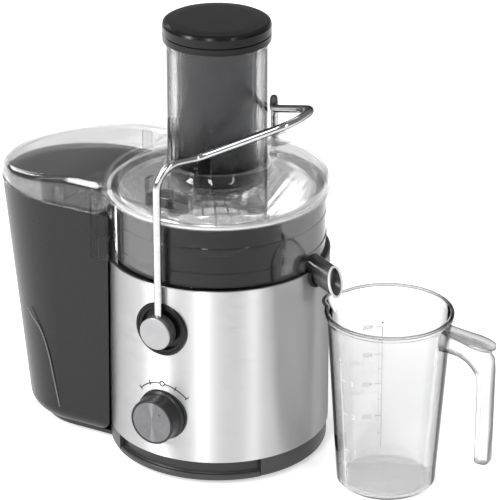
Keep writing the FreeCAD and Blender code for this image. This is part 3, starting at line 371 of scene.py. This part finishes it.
def make_materials():
    """Materials by the record's slot, and those of single pieces after them."""
    look = {}
    look["black_plastic"] = plastic("black_satin", (0.022, 0.022, 0.023), 0.38)
    look["gloss_black"] = plastic("black_gloss", (0.006, 0.006, 0.0065), 0.22, 0.05, 0.2)
    look["charcoal_plastic"] = plastic("charcoal_satin", (0.014, 0.014, 0.0145), 0.3, specular=0.18)
    look["black_rubber"] = plastic("rubber_matt", (0.015, 0.015, 0.015), 0.75, 0.4)
    look["silicone"] = plastic("silicone", (0.6, 0.6, 0.6), 0.5)
    look["brushed_steel"] = brushed("steel_brushed", (0.61, 0.61, 0.615), 0.45, 60, (1, 1, 40),
                                    anisotropy=0.95, rotation=0.25, edge=(0.3, 0.3, 0.3), grain=0.03,
                                    variation=0.03)
    look["polished_steel"] = brushed("steel_polished", (0.5, 0.5, 0.51), 0.1, 60, (1, 1, 10),
                                     anisotropy=0.0, edge=(0.1, 0.1, 0.1), grain=0.02)
    look["spun_metal"] = brushed("metal_spun", (0.17, 0.17, 0.175), 0.35, 300, (1, 1, 1), "Y",
                                 anisotropy=0.95, rotation=0.25, grain=0.03)
    look["stainless_mesh"] = brushed("steel_basket", (0.8, 0.8, 0.8), 0.2, 60, (1, 1, 10))
    look["bearing_steel"] = brushed("steel_ground", (0.6, 0.6, 0.6), 0.25, 60, (1, 1, 10))
    look["zinc_steel"] = brushed("steel_zinc", (0.6, 0.6, 0.58), 0.35, 60, (1, 1, 10))
    look["die_cast"] = brushed("alloy_cast", (0.5, 0.5, 0.5), 0.5, 60, (1, 1, 1), anisotropy=0.0)
    look["lamination"] = brushed("iron_stack", (0.2, 0.2, 0.2), 0.5, 60, (1, 1, 60))
    look["copper_wire"] = brushed("copper", (0.7, 0.35, 0.2), 0.35, 60, (1, 1, 60))
    look["carbon"] = plastic("carbon", (0.03, 0.03, 0.03), 0.6)
    look["board_green"] = plastic("board", (0.03, 0.2, 0.07), 0.3)
    look["dark_print"] = plastic("print_dark", (0.02, 0.02, 0.02), 0.5)
    look["clear_plastic"] = clear("clear", (0.62, 0.62, 0.625), (0.0, 0.0, 0.0), 0.3, 1.0, ior=1.16,
                                  rim=(0.48, 0.72))
    look["smoky_clear"] = clear("smoky", (0.07, 0.07, 0.073), (0.02, 0.02, 0.02), 0.6, 0.97, ior=1.45)
    # painted shade: the spout's mouth turns opaque, dull smoky plastic
    shade_along_x(look["smoky_clear"], world(SPOUT_SHADE_FROM, 0, 0).x, world(SPOUT_SHADE_TO, 0, 0).x, 0.22)
    look["dark_clear"] = clear("dark_smoky", (0.14, 0.14, 0.145), (0.02, 0.02, 0.02), 0.85, 0.97, ior=1.3)

    look["hood_clear"] = clear("hood_clear", (0.9, 0.9, 0.905), (0.05, 0.05, 0.05), 0.26, 0.85, ior=1.4,
                               rim=(0.6, 0.95))
    hood_sockets = shader_of(look["hood_clear"]).inputs
    hood_sockets["Specular IOR Level"].default_value = 0.9
    hood_sockets["Coat Weight"].default_value = 1.0
    hood_sockets["Coat IOR"].default_value = 1.9
    # painted shade: the front guide pad is dark see-through plastic, with lighter edges as painted highlight
    look["guide_shaded"] = clear("guide_shaded", (0.05, 0.05, 0.052), (0.3, 0.3, 0.3), 0.85, 0.95)
    look["handle_clear"] = clear("handle_clear", (0.6, 0.6, 0.61), (0.01, 0.01, 0.01), 0.35, 1.0, ior=1.2,
                                 rim=(0.28, 0.66))
    look["rim_clear"] = clear("rim_clear", (0.5, 0.5, 0.505), (0.01, 0.01, 0.01), 0.5, 1.0, ior=1.2,
                              rim=(0.15, 0.5))
    # painted highlight: the spout's clear lip is drawn in opaque light grey
    look["lip_highlight"] = plastic("lip_highlight", (0.7, 0.7, 0.71), 0.2, 0.05)
    look["basket_holes"] = perforated("steel_perforated", (0.92, 0.92, 0.92), 0.22)
    look["hub_satin"] = brushed("hub_satin", (0.33, 0.33, 0.335), 0.42, 60, (1, 1, 1), "Y", 0.0, grain=0.03)
    look["knob_satin"] = plastic("knob_satin", (0.012, 0.012, 0.013), 0.33, 0.05)
    look["skirt_satin"] = plastic("skirt_satin", (0.035, 0.035, 0.036), 0.42)
    # painted highlight: the light grey line along the container's crease
    look["highlight_grey"] = plastic("highlight_grey", (0.12, 0.12, 0.125), 0.35, 0.05)
    look["scale_print"] = plastic("print_grey", (0.58, 0.58, 0.59), 0.5)
    return look


def dress_nodes(look):
    """Gives each CAD node the material of its slot, or its own one."""
    finishes = {part["node"]: part["material_slot"] for part in frame["record"]["subparts"]}
    finishes.update(front_hub="hub_satin", rear_hub="hub_satin")
    for name, node in NODES.items():
        node.data.materials.clear()
        node.data.materials.append(look[finishes[name]])


# ---- mesh helpers ----
def world(x, y, z):
    """Point in the frame's metres from millimetres off the motor axis."""
    return Vector((AXIS_X + x * MM, AXIS_Y + y * MM, z * MM))


def add_mesh(name, points, faces, body, look, replaces=(), sharp=32.0, bevel=0.0):
    """New piece from points in millimetres; bevel is the width of its rounded edges."""
    mesh = bpy.data.meshes.new(name)
    mesh.from_pydata([world(*p) for p in points], [], faces)
    build = bmesh.new()
    build.from_mesh(mesh)
    bmesh.ops.remove_doubles(build, verts=build.verts, dist=1e-6)
    bmesh.ops.recalc_face_normals(build, faces=build.faces)
    build.to_mesh(mesh)
    build.free()
    mesh.shade_smooth()
    mesh.set_sharp_from_angle(angle=radians(sharp))
    mesh.materials.append(LOOK[look])
    piece = bpy.data.objects.new(name, mesh)
    bpy.context.collection.objects.link(piece)
    if bevel:
        round_edges(piece, bevel)
    if replaces:
        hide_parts(*replaces)
    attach(piece, body)


def round_edges(piece, width, angle=30.0, segments=3):
    """Rounds the piece's edges sharper than that angle."""
    bevel = piece.modifiers.new("rounded_edges", "BEVEL")
    bevel.width, bevel.segments = width * MM, segments
    bevel.limit_method, bevel.angle_limit = "ANGLE", radians(angle)


def net(rows, close_rows=False, close_columns=False, caps=False):
    """Points and faces of a net of rows; caps closes its first and last row."""
    width = len(rows[0])
    points = [p for row in rows for p in row]
    faces = []
    for i in range(len(rows) - (0 if close_rows else 1)):
        a, b = i * width, (i + 1) % len(rows) * width
        for j in range(width - (0 if close_columns else 1)):
            k = (j + 1) % width
            faces.append((a + j, a + k, b + k, b + j))
    if caps:
        faces.append(tuple(range(width)))
        faces.append(tuple(range(len(points) - width, len(points))))
    return points, faces


def arc(x, y, r, start, end, steps):
    """Points of an arc in a plane, angles in degrees."""
    turns = [radians(start + (end - start) * i / steps) for i in range(steps + 1)]
    return [(x + r * cos(t), y + r * sin(t)) for t in turns]


def turned(outline, start=0.0, sweep=360.0):
    """Net of a closed (radius, height) outline turned about the motor axis."""
    whole = sweep >= 360
    steps = ceil(STEPS * sweep / 360)
    turns = [radians(start + sweep * i / steps) for i in range(steps + (0 if whole else 1))]
    rows = [[(r * cos(t), r * sin(t), z) for r, z in outline] for t in turns]
    return net(rows, close_rows=whole, close_columns=True, caps=not whole)


def turned_front(outline, z, segments=96):
    """Net of a closed (radius, depth) outline turned about the axis along -Y at that height."""
    turns = [2 * pi * i / segments for i in range(segments)]
    rows = [[(r * sin(t), -depth, z + r * cos(t)) for r, depth in outline] for t in turns]
    return net(rows, close_rows=True, close_columns=True)


def prism(outline, z0, z1):
    """Upright block over a closed (x, y) outline."""
    low = [(x, y, z0) for x, y in outline]
    return net([low, [(x, y, z1) for x, y in outline]], close_columns=True, caps=True)


def tube(path, r, segments=12):
    """Round tube along points; its section stays square to the path."""
    points = [Vector(p) for p in path]
    rows = []
    side = None
    for i, here in enumerate(points):
        ahead = (points[min(i + 1, len(points) - 1)] - points[max(i - 1, 0)]).normalized()
        if side is None:
            side = ahead.orthogonal().normalized()
        side = (side - ahead * side.dot(ahead)).normalized()
        other = ahead.cross(side)
        turns = [2 * pi * k / segments for k in range(segments)]
        rows.append([tuple(here + (side * cos(t) + other * sin(t)) * r) for t in turns])
    return net(rows, close_columns=True, caps=True)


def smooth_path(corners, steps=8):
    """Catmull-Rom curve through the corners."""
    ends = [Vector(corners[0])] + [Vector(c) for c in corners] + [Vector(corners[-1])]
    path = []
    for a, b, c, d in zip(ends, ends[1:], ends[2:], ends[3:]):
        for i in range(steps):
            t = i / steps
            path.append(0.5 * (2 * b + (c - a) * t + (2 * a - 5 * b + 4 * c - d) * t ** 2
                               + (3 * b - a - 3 * c + d) * t ** 3))
    return path + [ends[-1]]


def eased(value):
    """0 below 0, 1 above 1 and a smooth run between."""
    t = min(1.0, max(0.0, value))
    return t * t * (3 - 2 * t)


# ---- lid and hood ----
def hood_reach(angle):
    """Distance from the motor axis to the hood's outline at that angle, 0 where it has none."""
    to_side, to_front = -cos(angle), abs(sin(angle))
    if to_side <= 0:
        return 0.0
    side = BIN_HALF_W / to_front if to_front > 1e-6 else 1e6
    if side * to_side <= -BIN_END_X:
        return side
    a = (to_side / BIN_END_RX) ** 2 + (to_front / BIN_HALF_W) ** 2
    b = BIN_END_X * to_side / BIN_END_RX ** 2
    c = (BIN_END_X / BIN_END_RX) ** 2 - 1
    return (-b + sqrt(b * b - a * c)) / a


def lid_reach(angle):
    """The round lid and the hood in one outline, with a soft inner corner between them."""
    hood = hood_reach(angle)
    overlap = max(0.0, JUNCTION_BLEND - abs(hood - LID_R)) / JUNCTION_BLEND
    return max(hood, LID_R) + overlap ** 2 * JUNCTION_BLEND / 4


def top_height(r, angle):
    """Height of the lid's top surface."""
    rise = (LID_TOP_Z - LID_EDGE_Z) * eased((CROWN_R1 - r) / (CROWN_R1 - CROWN_R0))
    beyond, soft = HOOD_CREASE_X - r * cos(angle), HOOD_CREASE_SOFT
    slope = (LID_EDGE_Z - HOOD_END_Z) / (HOOD_CREASE_X - HOOD_END_X)
    if beyond < -soft:
        fall = 0.0
    elif beyond > soft:
        fall = slope * beyond
    else:
        fall = slope * (beyond + soft) ** 2 / 4 / soft
    return LID_EDGE_Z + rise - fall


def lid_section(angle):
    """Closed section of the lid and hood at that angle: in along the outside, back along the inside."""
    reach = lid_reach(angle)
    hood = eased((reach - LID_R - 1) / HOOD_BLEND)
    z0 = LID_Z0 + (HOOD_Z0 - LID_Z0) * hood
    bend = LID_ROUND + (HOOD_ROUND - LID_ROUND) * hood
    start = reach - bend
    shoulder_z = top_height(start, angle)
    flange = FLANGE * (1 - 0.3 * hood)
    outside = [(reach + flange, z0), (reach + flange, z0 + FLANGE_H), (reach, z0 + FLANGE_H + FLANGE_SLOPE)]
    outside += [(reach, z0 + LID_RIM_H)] + arc(start, shoulder_z - bend, bend, 0, 90, 8)
    inside = [(reach - LID_T, z0), (reach - LID_T, z0 + LID_RIM_H)]
    inside += arc(start, shoulder_z - bend, bend - LID_T, 0, 90, 8)
    for i in range(1, 11):
        r = start + (CROWN_R0 - start) * i / 10
        z = top_height(r, angle)
        outside.append((r, z))
        inside.append((r, z - LID_T))
    outside += [(r, LID_TOP_Z + up) for r, up in CHUTE_FILLET]
    inside += [(CHUTE_R, LID_TOP_Z - LID_T)]
    return [(r * cos(angle), r * sin(angle), z) for r, z in outside + inside[::-1]]


def add_lid():
    """Clear lid and hood in one shell, the band under the hood, and the details of both sides."""
    turns = [2 * pi * i / STEPS for i in range(STEPS)]
    points, faces = net([lid_section(t) for t in turns], close_rows=True, close_columns=True)
    add_mesh("lid_shell", points, faces, "lid", "hood_clear", ("lid_cover", "lid_hood"), 40)
    r0, r1, top_z = LID_R - HOOD_SKIRT_IN, LID_R + HOOD_SKIRT_OUT, LID_Z0 + 1.2
    skirt = [(r0, HOOD_Z0), (r1, HOOD_Z0), (r1, top_z), (r0, top_z)]
    points, faces = turned(skirt, 180 - HOOD_SKIRT_SWEEP / 2, HOOD_SKIRT_SWEEP)
    add_mesh("hood_skirt", points, faces, "lid", "hood_clear")
    for side, end in FRONT_AND_REAR:
        add_bead(side, end)
        add_neck(side, end)
        add_guide(side, end)


def add_lid_block(name, outline, side, z0, z1, bevel, look="clear_plastic"):
    """Upright block on the lid from a rear outline, mirrored to the front where side is -1."""
    points, faces = prism([(x, side * y) for x, y in outline], z0, z1)
    add_mesh(name, points, faces, "lid", look, bevel=bevel)


def add_bead(side, end):
    """Raised line that leaves the lid's edge, arches over the neck and ends in a small tab."""
    y = BIN_HALF_W + BEAD_PROUD
    points, faces = tube(smooth_path([(x, side * y, z) for x, z in BEAD_CORNERS]), BEAD_R)
    add_mesh("hood_bead_" + end, points, faces, "lid", "clear_plastic")
    tab = [(TAB_X0, y - 2), (TAB_X1, y - 2), (TAB_X1, y + 1.6), (TAB_X0, y + 1.6)]
    add_lid_block("hood_tab_" + end, tab, side, HOOD_Z0, TAB_TOP_Z, 1.0)


def add_neck(side, end):
    """Ribbed tongue that hangs from the lid in front of the container's corner."""
    back, face, rib = BIN_HALF_W + 2.3, BIN_HALF_W + 4.7, BIN_HALF_W + 6.3
    outline = [(NECK_RIBS[0], back)]
    for x in NECK_RIBS:
        foot = back if x == NECK_RIBS[0] else face
        outline += [(x, foot), (x, rib), (x + NECK_RIB_W, rib), (x + NECK_RIB_W, face)]
    outline += [(NECK_X1, face)] + arc(0, 0, NECK_R1, 126, 123, 2) + arc(0, 0, NECK_R0, 123, 126, 2)
    outline += [(NECK_X1, back)]
    add_lid_block("neck_" + end, outline, side, NECK_Z0, NECK_Z1, 0.5)


def add_guide(side, end):
    """Half-round pad and post that the closed bail lies between; the front pad is the darker one, as painted
    shade.
    """
    z0 = LID_EDGE_Z - GUIDE_SINK
    outline = arc(PAD_X, PAD_Y, PAD_R, 180, 360, 24)
    look = "guide_shaded" if end == "front" else "clear_plastic"
    add_lid_block("guide_pad_" + end, outline, side, z0, PAD_TOP_Z, 1.5, look)
    (x0, x1), (y0, y1) = POST_X, POST_Y
    add_lid_block("guide_post_" + end, [(x0, y0), (x1, y0), (x1, y1), (x0, y1)], side, z0, POST_TOP_Z, 1.2)


# ---- base ----
def add_skirt():
    """Satin skirt round the tray, left open over the front recess, and the low lip across it."""
    r, z0, z1 = SKIRT_R, SKIRT_Z0, SKIRT_Z1
    round_foot = arc(r - SKIRT_ROUND, z0 + SKIRT_ROUND, SKIRT_ROUND, -90, 0, 5)
    outline = [(SKIRT_INNER_R, z0)] + round_foot + [(r, z1 - SKIRT_EDGE), (r - SKIRT_EDGE, z1)]
    outline += [(SKIRT_INNER_R, z1)]
    sweep = RECESS_TO - RECESS_FROM
    points, faces = turned(outline, RECESS_TO, 360 - sweep)
    add_mesh("base_skirt", points, faces, "base", "skirt_satin")
    lip_z = z0 + RECESS_LIP_H
    lip = [(SKIRT_INNER_R, z0), (r - 1.5, z0), (r - 0.5, z0 + 1), (r - 0.5, lip_z - 1), (r - 1.5, lip_z),
           (SKIRT_INNER_R, lip_z)]
    points, faces = turned(lip, RECESS_FROM + RECESS_LIP_GAP, sweep - 2 * RECESS_LIP_GAP)
    add_mesh("base_lip", points, faces, "base", "skirt_satin")


def add_bezel(side, end):
    """Black cup with a fine raised edge that a pivot cap of the bail sits in."""
    low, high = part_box(end + "_hub")
    face, boss = SLEEVE_R + BEZEL_PROUD, SLEEVE_R + 0.3
    step = face - BEZEL_STEP
    outline = [(BEZEL_BORE_R, BEZEL_FOOT), (BEZEL_R, BEZEL_FOOT), (BEZEL_R, step), (BEZEL_R - 0.6, face)]
    outline += [(BEZEL_R - 2.4, face), (BEZEL_R - 3.0, step), (BEZEL_CUP_R + 0.4, step)]
    outline += [(BEZEL_CUP_R, step - 0.4), (BEZEL_CUP_R, BEZEL_FLOOR), (BEZEL_BOSS_R, BEZEL_FLOOR)]
    outline += [(BEZEL_BOSS_R, boss), (BEZEL_BORE_R, boss)]
    points, faces = turned_front(outline, (low[2] + high[2]) / 2 / MM)
    points = [(x, -side * y, z) for x, y, z in points]
    add_mesh("bezel_cup_" + end, points, faces, "base", "gloss_black", (end + "_bezel",), 30)


# ---- basket ----
def add_basket():
    """Cone of the filter basket with shallow pressed facets, and its floor."""
    rise_r, rise_z = BASKET_RIM_R - BASKET_FLOOR_R, BASKET_RIM_Z - BASKET_FLOOR_Z
    rows = []
    for i in range(BASKET_STEPS):
        turn = 2 * pi * i / BASKET_STEPS
        wave = abs((i * BASKET_FACETS / BASKET_STEPS) % 1 - 0.5) * 2
        inside, outside = [], []
        for t in [k / 6 for k in range(7)]:
            dent = BASKET_PRESS * wave * sin(pi * t)
            inside.append((BASKET_FLOOR_R + (rise_r - BASKET_T) * t - dent, BASKET_FLOOR_Z + rise_z * t))
            outside.append((BASKET_FLOOR_R + rise_r * t + BASKET_T * (1 - t) - dent,
                            BASKET_FLOOR_Z - BASKET_FOOT + (rise_z + BASKET_FOOT) * t))
        rows.append([(r * cos(turn), r * sin(turn), z) for r, z in inside + outside[::-1]])
    points, faces = net(rows, close_rows=True, close_columns=True)
    add_mesh("basket_cone", points, faces, "basket", "basket_holes", sharp=20)
    r, low_z = BASKET_FLOOR_R + BASKET_T, BASKET_FLOOR_Z - BASKET_FLOOR_T
    points, faces = turned([(0.01, low_z), (r, low_z), (r, BASKET_FLOOR_Z), (0.01, BASKET_FLOOR_Z)])
    add_mesh("basket_floor", points, faces, "basket", "basket_holes", ("basket_mesh",))


# ---- knob ----
def add_knob():
    """Knob's barrel: a foot flange, a slight taper and a shallow pocket that holds the metal face."""
    low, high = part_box("knob_skirt")
    face = (AXIS_Y - low[1]) / MM
    back = (AXIS_Y - high[1]) / MM
    foot_r, edge = KNOB_FOOT_R, 1.2
    outline = [(KNOB_BORE_R, back), (foot_r - 1, back), (foot_r, back + 0.8), (foot_r, back + 2.4)]
    outline += [(foot_r - 0.8, back + 3.2), (KNOB_R + 0.4, back + 3.6), (KNOB_R - 0.2, face - 2.5)]
    outline += [(KNOB_R - edge + r, depth) for r, depth in arc(0, face - edge, edge, 0, 90, 5)]
    outline += [(KNOB_POCKET_R + 0.3, face), (KNOB_POCKET_R, face - 0.5)]
    outline += [(KNOB_POCKET_R, face - KNOB_POCKET), (KNOB_BORE_R, face - KNOB_POCKET)]
    points, faces = turned_front(outline, (low[2] + high[2]) / 2 / MM)
    add_mesh("knob_barrel", points, faces, "knob", "knob_satin", ("knob_skirt",))


# ---- container ----
def add_crease_highlight():
    """Thin curved line on each side of the container, light grey as a painted highlight along its crease."""
    for side, end in FRONT_AND_REAR:
        path = smooth_path([(x, side * y, z) for x, y, z in LINE_CORNERS])
        points, faces = tube(path, LINE_R)
        add_mesh("container_highlight_line_" + end, points, faces, "container", "highlight_grey")


# ---- jug ----
def jug_radius(z):
    """Outer radius of the jug's wall, with room for the print."""
    return JUG_BASE_R + (JUG_TOP_R - JUG_BASE_R) * (z - JUG_FLOOR) / JUG_TAPER_H + PRINT_GAP


def on_jug(azimuth, z, proud=0.0):
    """Point on the jug's wall; azimuth 0 is in front (-Y) and 90 at the handle."""
    r = jug_radius(z) + proud
    return (JUG_X + r * sin(radians(azimuth)), -r * cos(radians(azimuth)), z)


def patch(azimuth, z, half_w, half_h):
    """Small printed mark that follows the jug's wall."""
    steps = max(1, ceil(half_w / 2))
    turn = degrees(half_w / jug_radius(z))
    rows = []
    for a in [azimuth - turn + 2 * turn * i / steps for i in range(steps + 1)]:
        rows.append([on_jug(a, z - half_h, PRINT_LOW), on_jug(a, z - half_h, PRINT_HIGH),
                     on_jug(a, z + half_h, PRINT_HIGH), on_jug(a, z + half_h, PRINT_LOW)])
    return net(rows, close_columns=True, caps=True)


def join(nets):
    """Several nets as one."""
    points, faces = [], []
    for more, loops in nets:
        start = len(points)
        points += more
        faces += [tuple(start + i for i in loop) for loop in loops]
    return points, faces


def wrapped_text(text, azimuth, z, size):
    """Numbers as a thin raised print on the jug's wall."""
    data = bpy.data.curves.new("number", "FONT")
    data.body, data.size = text, size
    data.align_x = "CENTER"
    data.align_y = "CENTER"
    data.extrude = (PRINT_HIGH - PRINT_LOW) / 2
    data.resolution_u = 2
    letter = bpy.data.objects.new("number", data)
    flat = bpy.data.meshes.new_from_object(letter)
    middle = (PRINT_HIGH + PRINT_LOW) / 2
    points = []
    for vertex in flat.vertices:
        x, y, depth = vertex.co
        points.append(on_jug(azimuth + degrees(x / jug_radius(z + y)), z + y, middle + depth))
    faces = [tuple(f.vertices) for f in flat.polygons]
    bpy.data.objects.remove(letter)
    bpy.data.meshes.remove(flat)
    return points, faces


def fill_height(millilitres):
    """Height of the juice in the jug when it holds this much."""
    r, taper = JUG_BASE_R - JUG_WALL, (JUG_TOP_R - JUG_BASE_R) / (JUG_H - JUG_FLOOR)
    volume = MM3_PER_ML * millilitres
    return JUG_FLOOR + ((3 * taper * volume / pi + r ** 3) ** (1 / 3) - r) / taper


def add_scale(name, azimuth, heights, numbers):
    """Volume scale: an upright line with a dot on top, ticks, and a number at every other tick."""
    top_z = heights[-1]
    parts = [patch(azimuth, (SCALE_FOOT_Z + top_z) / 2, SCALE_LINE, (top_z - SCALE_FOOT_Z) / 2)]
    parts.append(patch(azimuth, top_z + SCALE_DOT_UP, 1.0, 1.0))
    for i, z in enumerate(heights):
        numbered = i % 2 == 1
        half = LONG_TICK if numbered else SHORT_TICK
        parts.append(patch(azimuth + degrees(half / jug_radius(z)), z, half, TICK_LINE))
        if numbered:
            shift = degrees((2 * half + NUMBER_GAP) / jug_radius(z))
            parts.append(wrapped_text(numbers[i // 2], azimuth + shift, z, NUMBER_SIZE))
    points, faces = join(parts)
    add_mesh(name, points, faces, "jug", "scale_print")


def add_jug_details():
    """A scale of 100 ml steps on the rear wall and one of half cups in front."""
    rear_heights = [fill_height(100 * i) for i in range(1, 9)]
    front_heights = [fill_height(CUP_ML / 2 * i) for i in range(1, 8)]
    add_scale("jug_scale_rear", 212, rear_heights, ["200", "400", "600", "800"])
    add_scale("jug_scale_front", -25, front_heights, ["1", "2", "3"])
    round_edges(NODES["jug_shell"], 0.7, 40)


def loft(stations, steps=24, square=0.5):
    """Net through soft-cornered sections, each a (middle, half axis, other half axis)."""
    def bulge(value):
        return abs(value) ** square * (1 if value > 0 else -1)

    turns = [2 * pi * i / steps for i in range(steps)]
    rows = []
    for middle, u, v in stations:
        middle, u, v = Vector(middle), Vector(u), Vector(v)
        rows.append([tuple(middle + u * bulge(cos(t)) + v * bulge(sin(t))) for t in turns])
    return net(rows, close_columns=True, caps=True)


def add_jug_handle():
    """Open grip hung from the rim, and the leaf-shaped thumb rest on top of it."""
    x0, x1, foot_z = GRIP_X0, GRIP_X1, GRIP_FOOT_Z
    # inner edge, outer edge and share of the full width, from the jug's wall to the foot
    sections = [((JUG_X + 51, 139.5), (JUG_X + 51, 157), 1), ((231, 139.5), (231, 154), 1),
                ((240, 138.5), (243, 152.5), 1), ((247, 135), (255, 151), 1), ((252.5, 130), (265, 147.5), 1),
                ((256.5, 124), (270, 141), 1), ((x0, 116), (x1, 130), 1), ((x0, 108), (x1, 110), 1),
                ((x0, 75), (x1, 75), 1), ((x0, foot_z + 2), (x1, foot_z + 2), 1),
                ((x0 + 1, foot_z + 0.6), (x1 - 1, foot_z + 0.6), 0.85),
                ((x0 + 3.5, foot_z), (x1 - 3.5, foot_z), 0.5)]
    stations = []
    for (xi, zi), (xo, zo), share in sections:
        middle, across = ((xi + xo) / 2, 0, (zi + zo) / 2), ((xo - xi) / 2, 0, (zo - zi) / 2)
        stations.append((middle, across, (0, GRIP_HALF_W * share, 0)))
    points, faces = loft(stations)
    add_mesh("jug_grip", points, faces, "jug", "handle_clear", ("jug_handle",), 40)

    stations = []
    # share of the length, half width and half thickness of the thumb rest
    for t, half_w, half_h in ((0, 8.5, 2.6), (0.15, 8.5, 2.7), (0.4, 10, 2.7), (0.62, 12, 2.6),
                              (0.8, 11.4, 2.4), (0.9, 9.6, 2.2), (0.96, 7, 1.9), (1.0, 2.5, 1.0)):
        x = THUMB_X0 + (THUMB_X1 - THUMB_X0) * t
        z = JUG_H - THUMB_SINK - (x - THUMB_X0) * sin(radians(THUMB_SLOPE))
        stations.append(((x, 0, z), (0, half_w, 0), (0.4, 0, half_h)))
    points, faces = loft(stations, square=0.7)
    add_mesh("jug_thumb_rest", points, faces, "jug", "handle_clear", sharp=50)


def rim_reach(turn):
    """Distance from the jug's axis to its rim, which bulges out to the pouring lip."""
    to_lip, aside = -cos(turn), sin(turn)
    inside = POUR_R ** 2 - (POUR_X * aside) ** 2
    lip = -POUR_X * to_lip + sqrt(inside) if inside > 0 and to_lip > 0 else 0.0
    overlap = max(0.0, POUR_BLEND - abs(lip - JUG_TOP_R)) / POUR_BLEND
    return max(JUG_TOP_R, lip) + overlap ** 2 * POUR_BLEND / 4


def add_jug_rim():
    """Rounded bead that runs along the rim and round the pouring lip."""
    path = []
    for i in range(STEPS):
        turn = 2 * pi * i / STEPS
        r = rim_reach(turn)
        path.append(Vector((JUG_X + r * cos(turn), r * sin(turn), JUG_H - RIM_SINK)))
    up = Vector((0, 0, 1))
    turns = [2 * pi * k / 12 for k in range(12)]
    rows = []
    for i, here in enumerate(path):
        ahead = (path[(i + 1) % STEPS] - path[i - 1]).normalized()
        out = ahead.cross(up)
        rows.append([tuple(here + out * (RIM_W * cos(t)) + up * (RIM_H * sin(t))) for t in turns])
    points, faces = net(rows, close_rows=True, close_columns=True)
    add_mesh("jug_rim", points, faces, "jug", "rim_clear")


def add_spout_lip():
    """Rounded edge round the mouth of the spout, in opaque light grey as a painted highlight of its clear
    rim.
    """
    slope, cut = radians(SPOUT_SLOPE), radians(SPOUT_CUT)
    centre = Vector((SPOUT_END_X, 0, SPOUT_Z + (SPOUT_X - SPOUT_END_X) * sin(slope) / cos(slope)))
    along, up = Vector((cos(slope), 0, -sin(slope))), Vector((sin(slope), 0, cos(slope)))
    face = Vector((cos(cut), 0, -sin(cut)))
    path = []
    for i in range(49):
        turn = 2 * pi * i / 48
        spot = up * (SPOUT_LIP_R * cos(turn)) + Vector((0, SPOUT_LIP_R * sin(turn), 0))
        path.append(centre + spot - along * (spot.dot(face) / along.dot(face)))
    points, faces = tube(path, SPOUT_LIP_T)
    add_mesh("spout_lip", points, faces, "bowl", "lip_highlight")


add_camera()
add_floor()
add_lights()
LOOK = make_materials()
dress_nodes(LOOK)
add_lid()
add_skirt()
for bezel_side, bezel_end in FRONT_AND_REAR:
    add_bezel(bezel_side, bezel_end)
add_basket()
add_knob()
add_crease_highlight()
add_jug_details()
add_jug_handle()
add_jug_rim()
add_spout_lip()
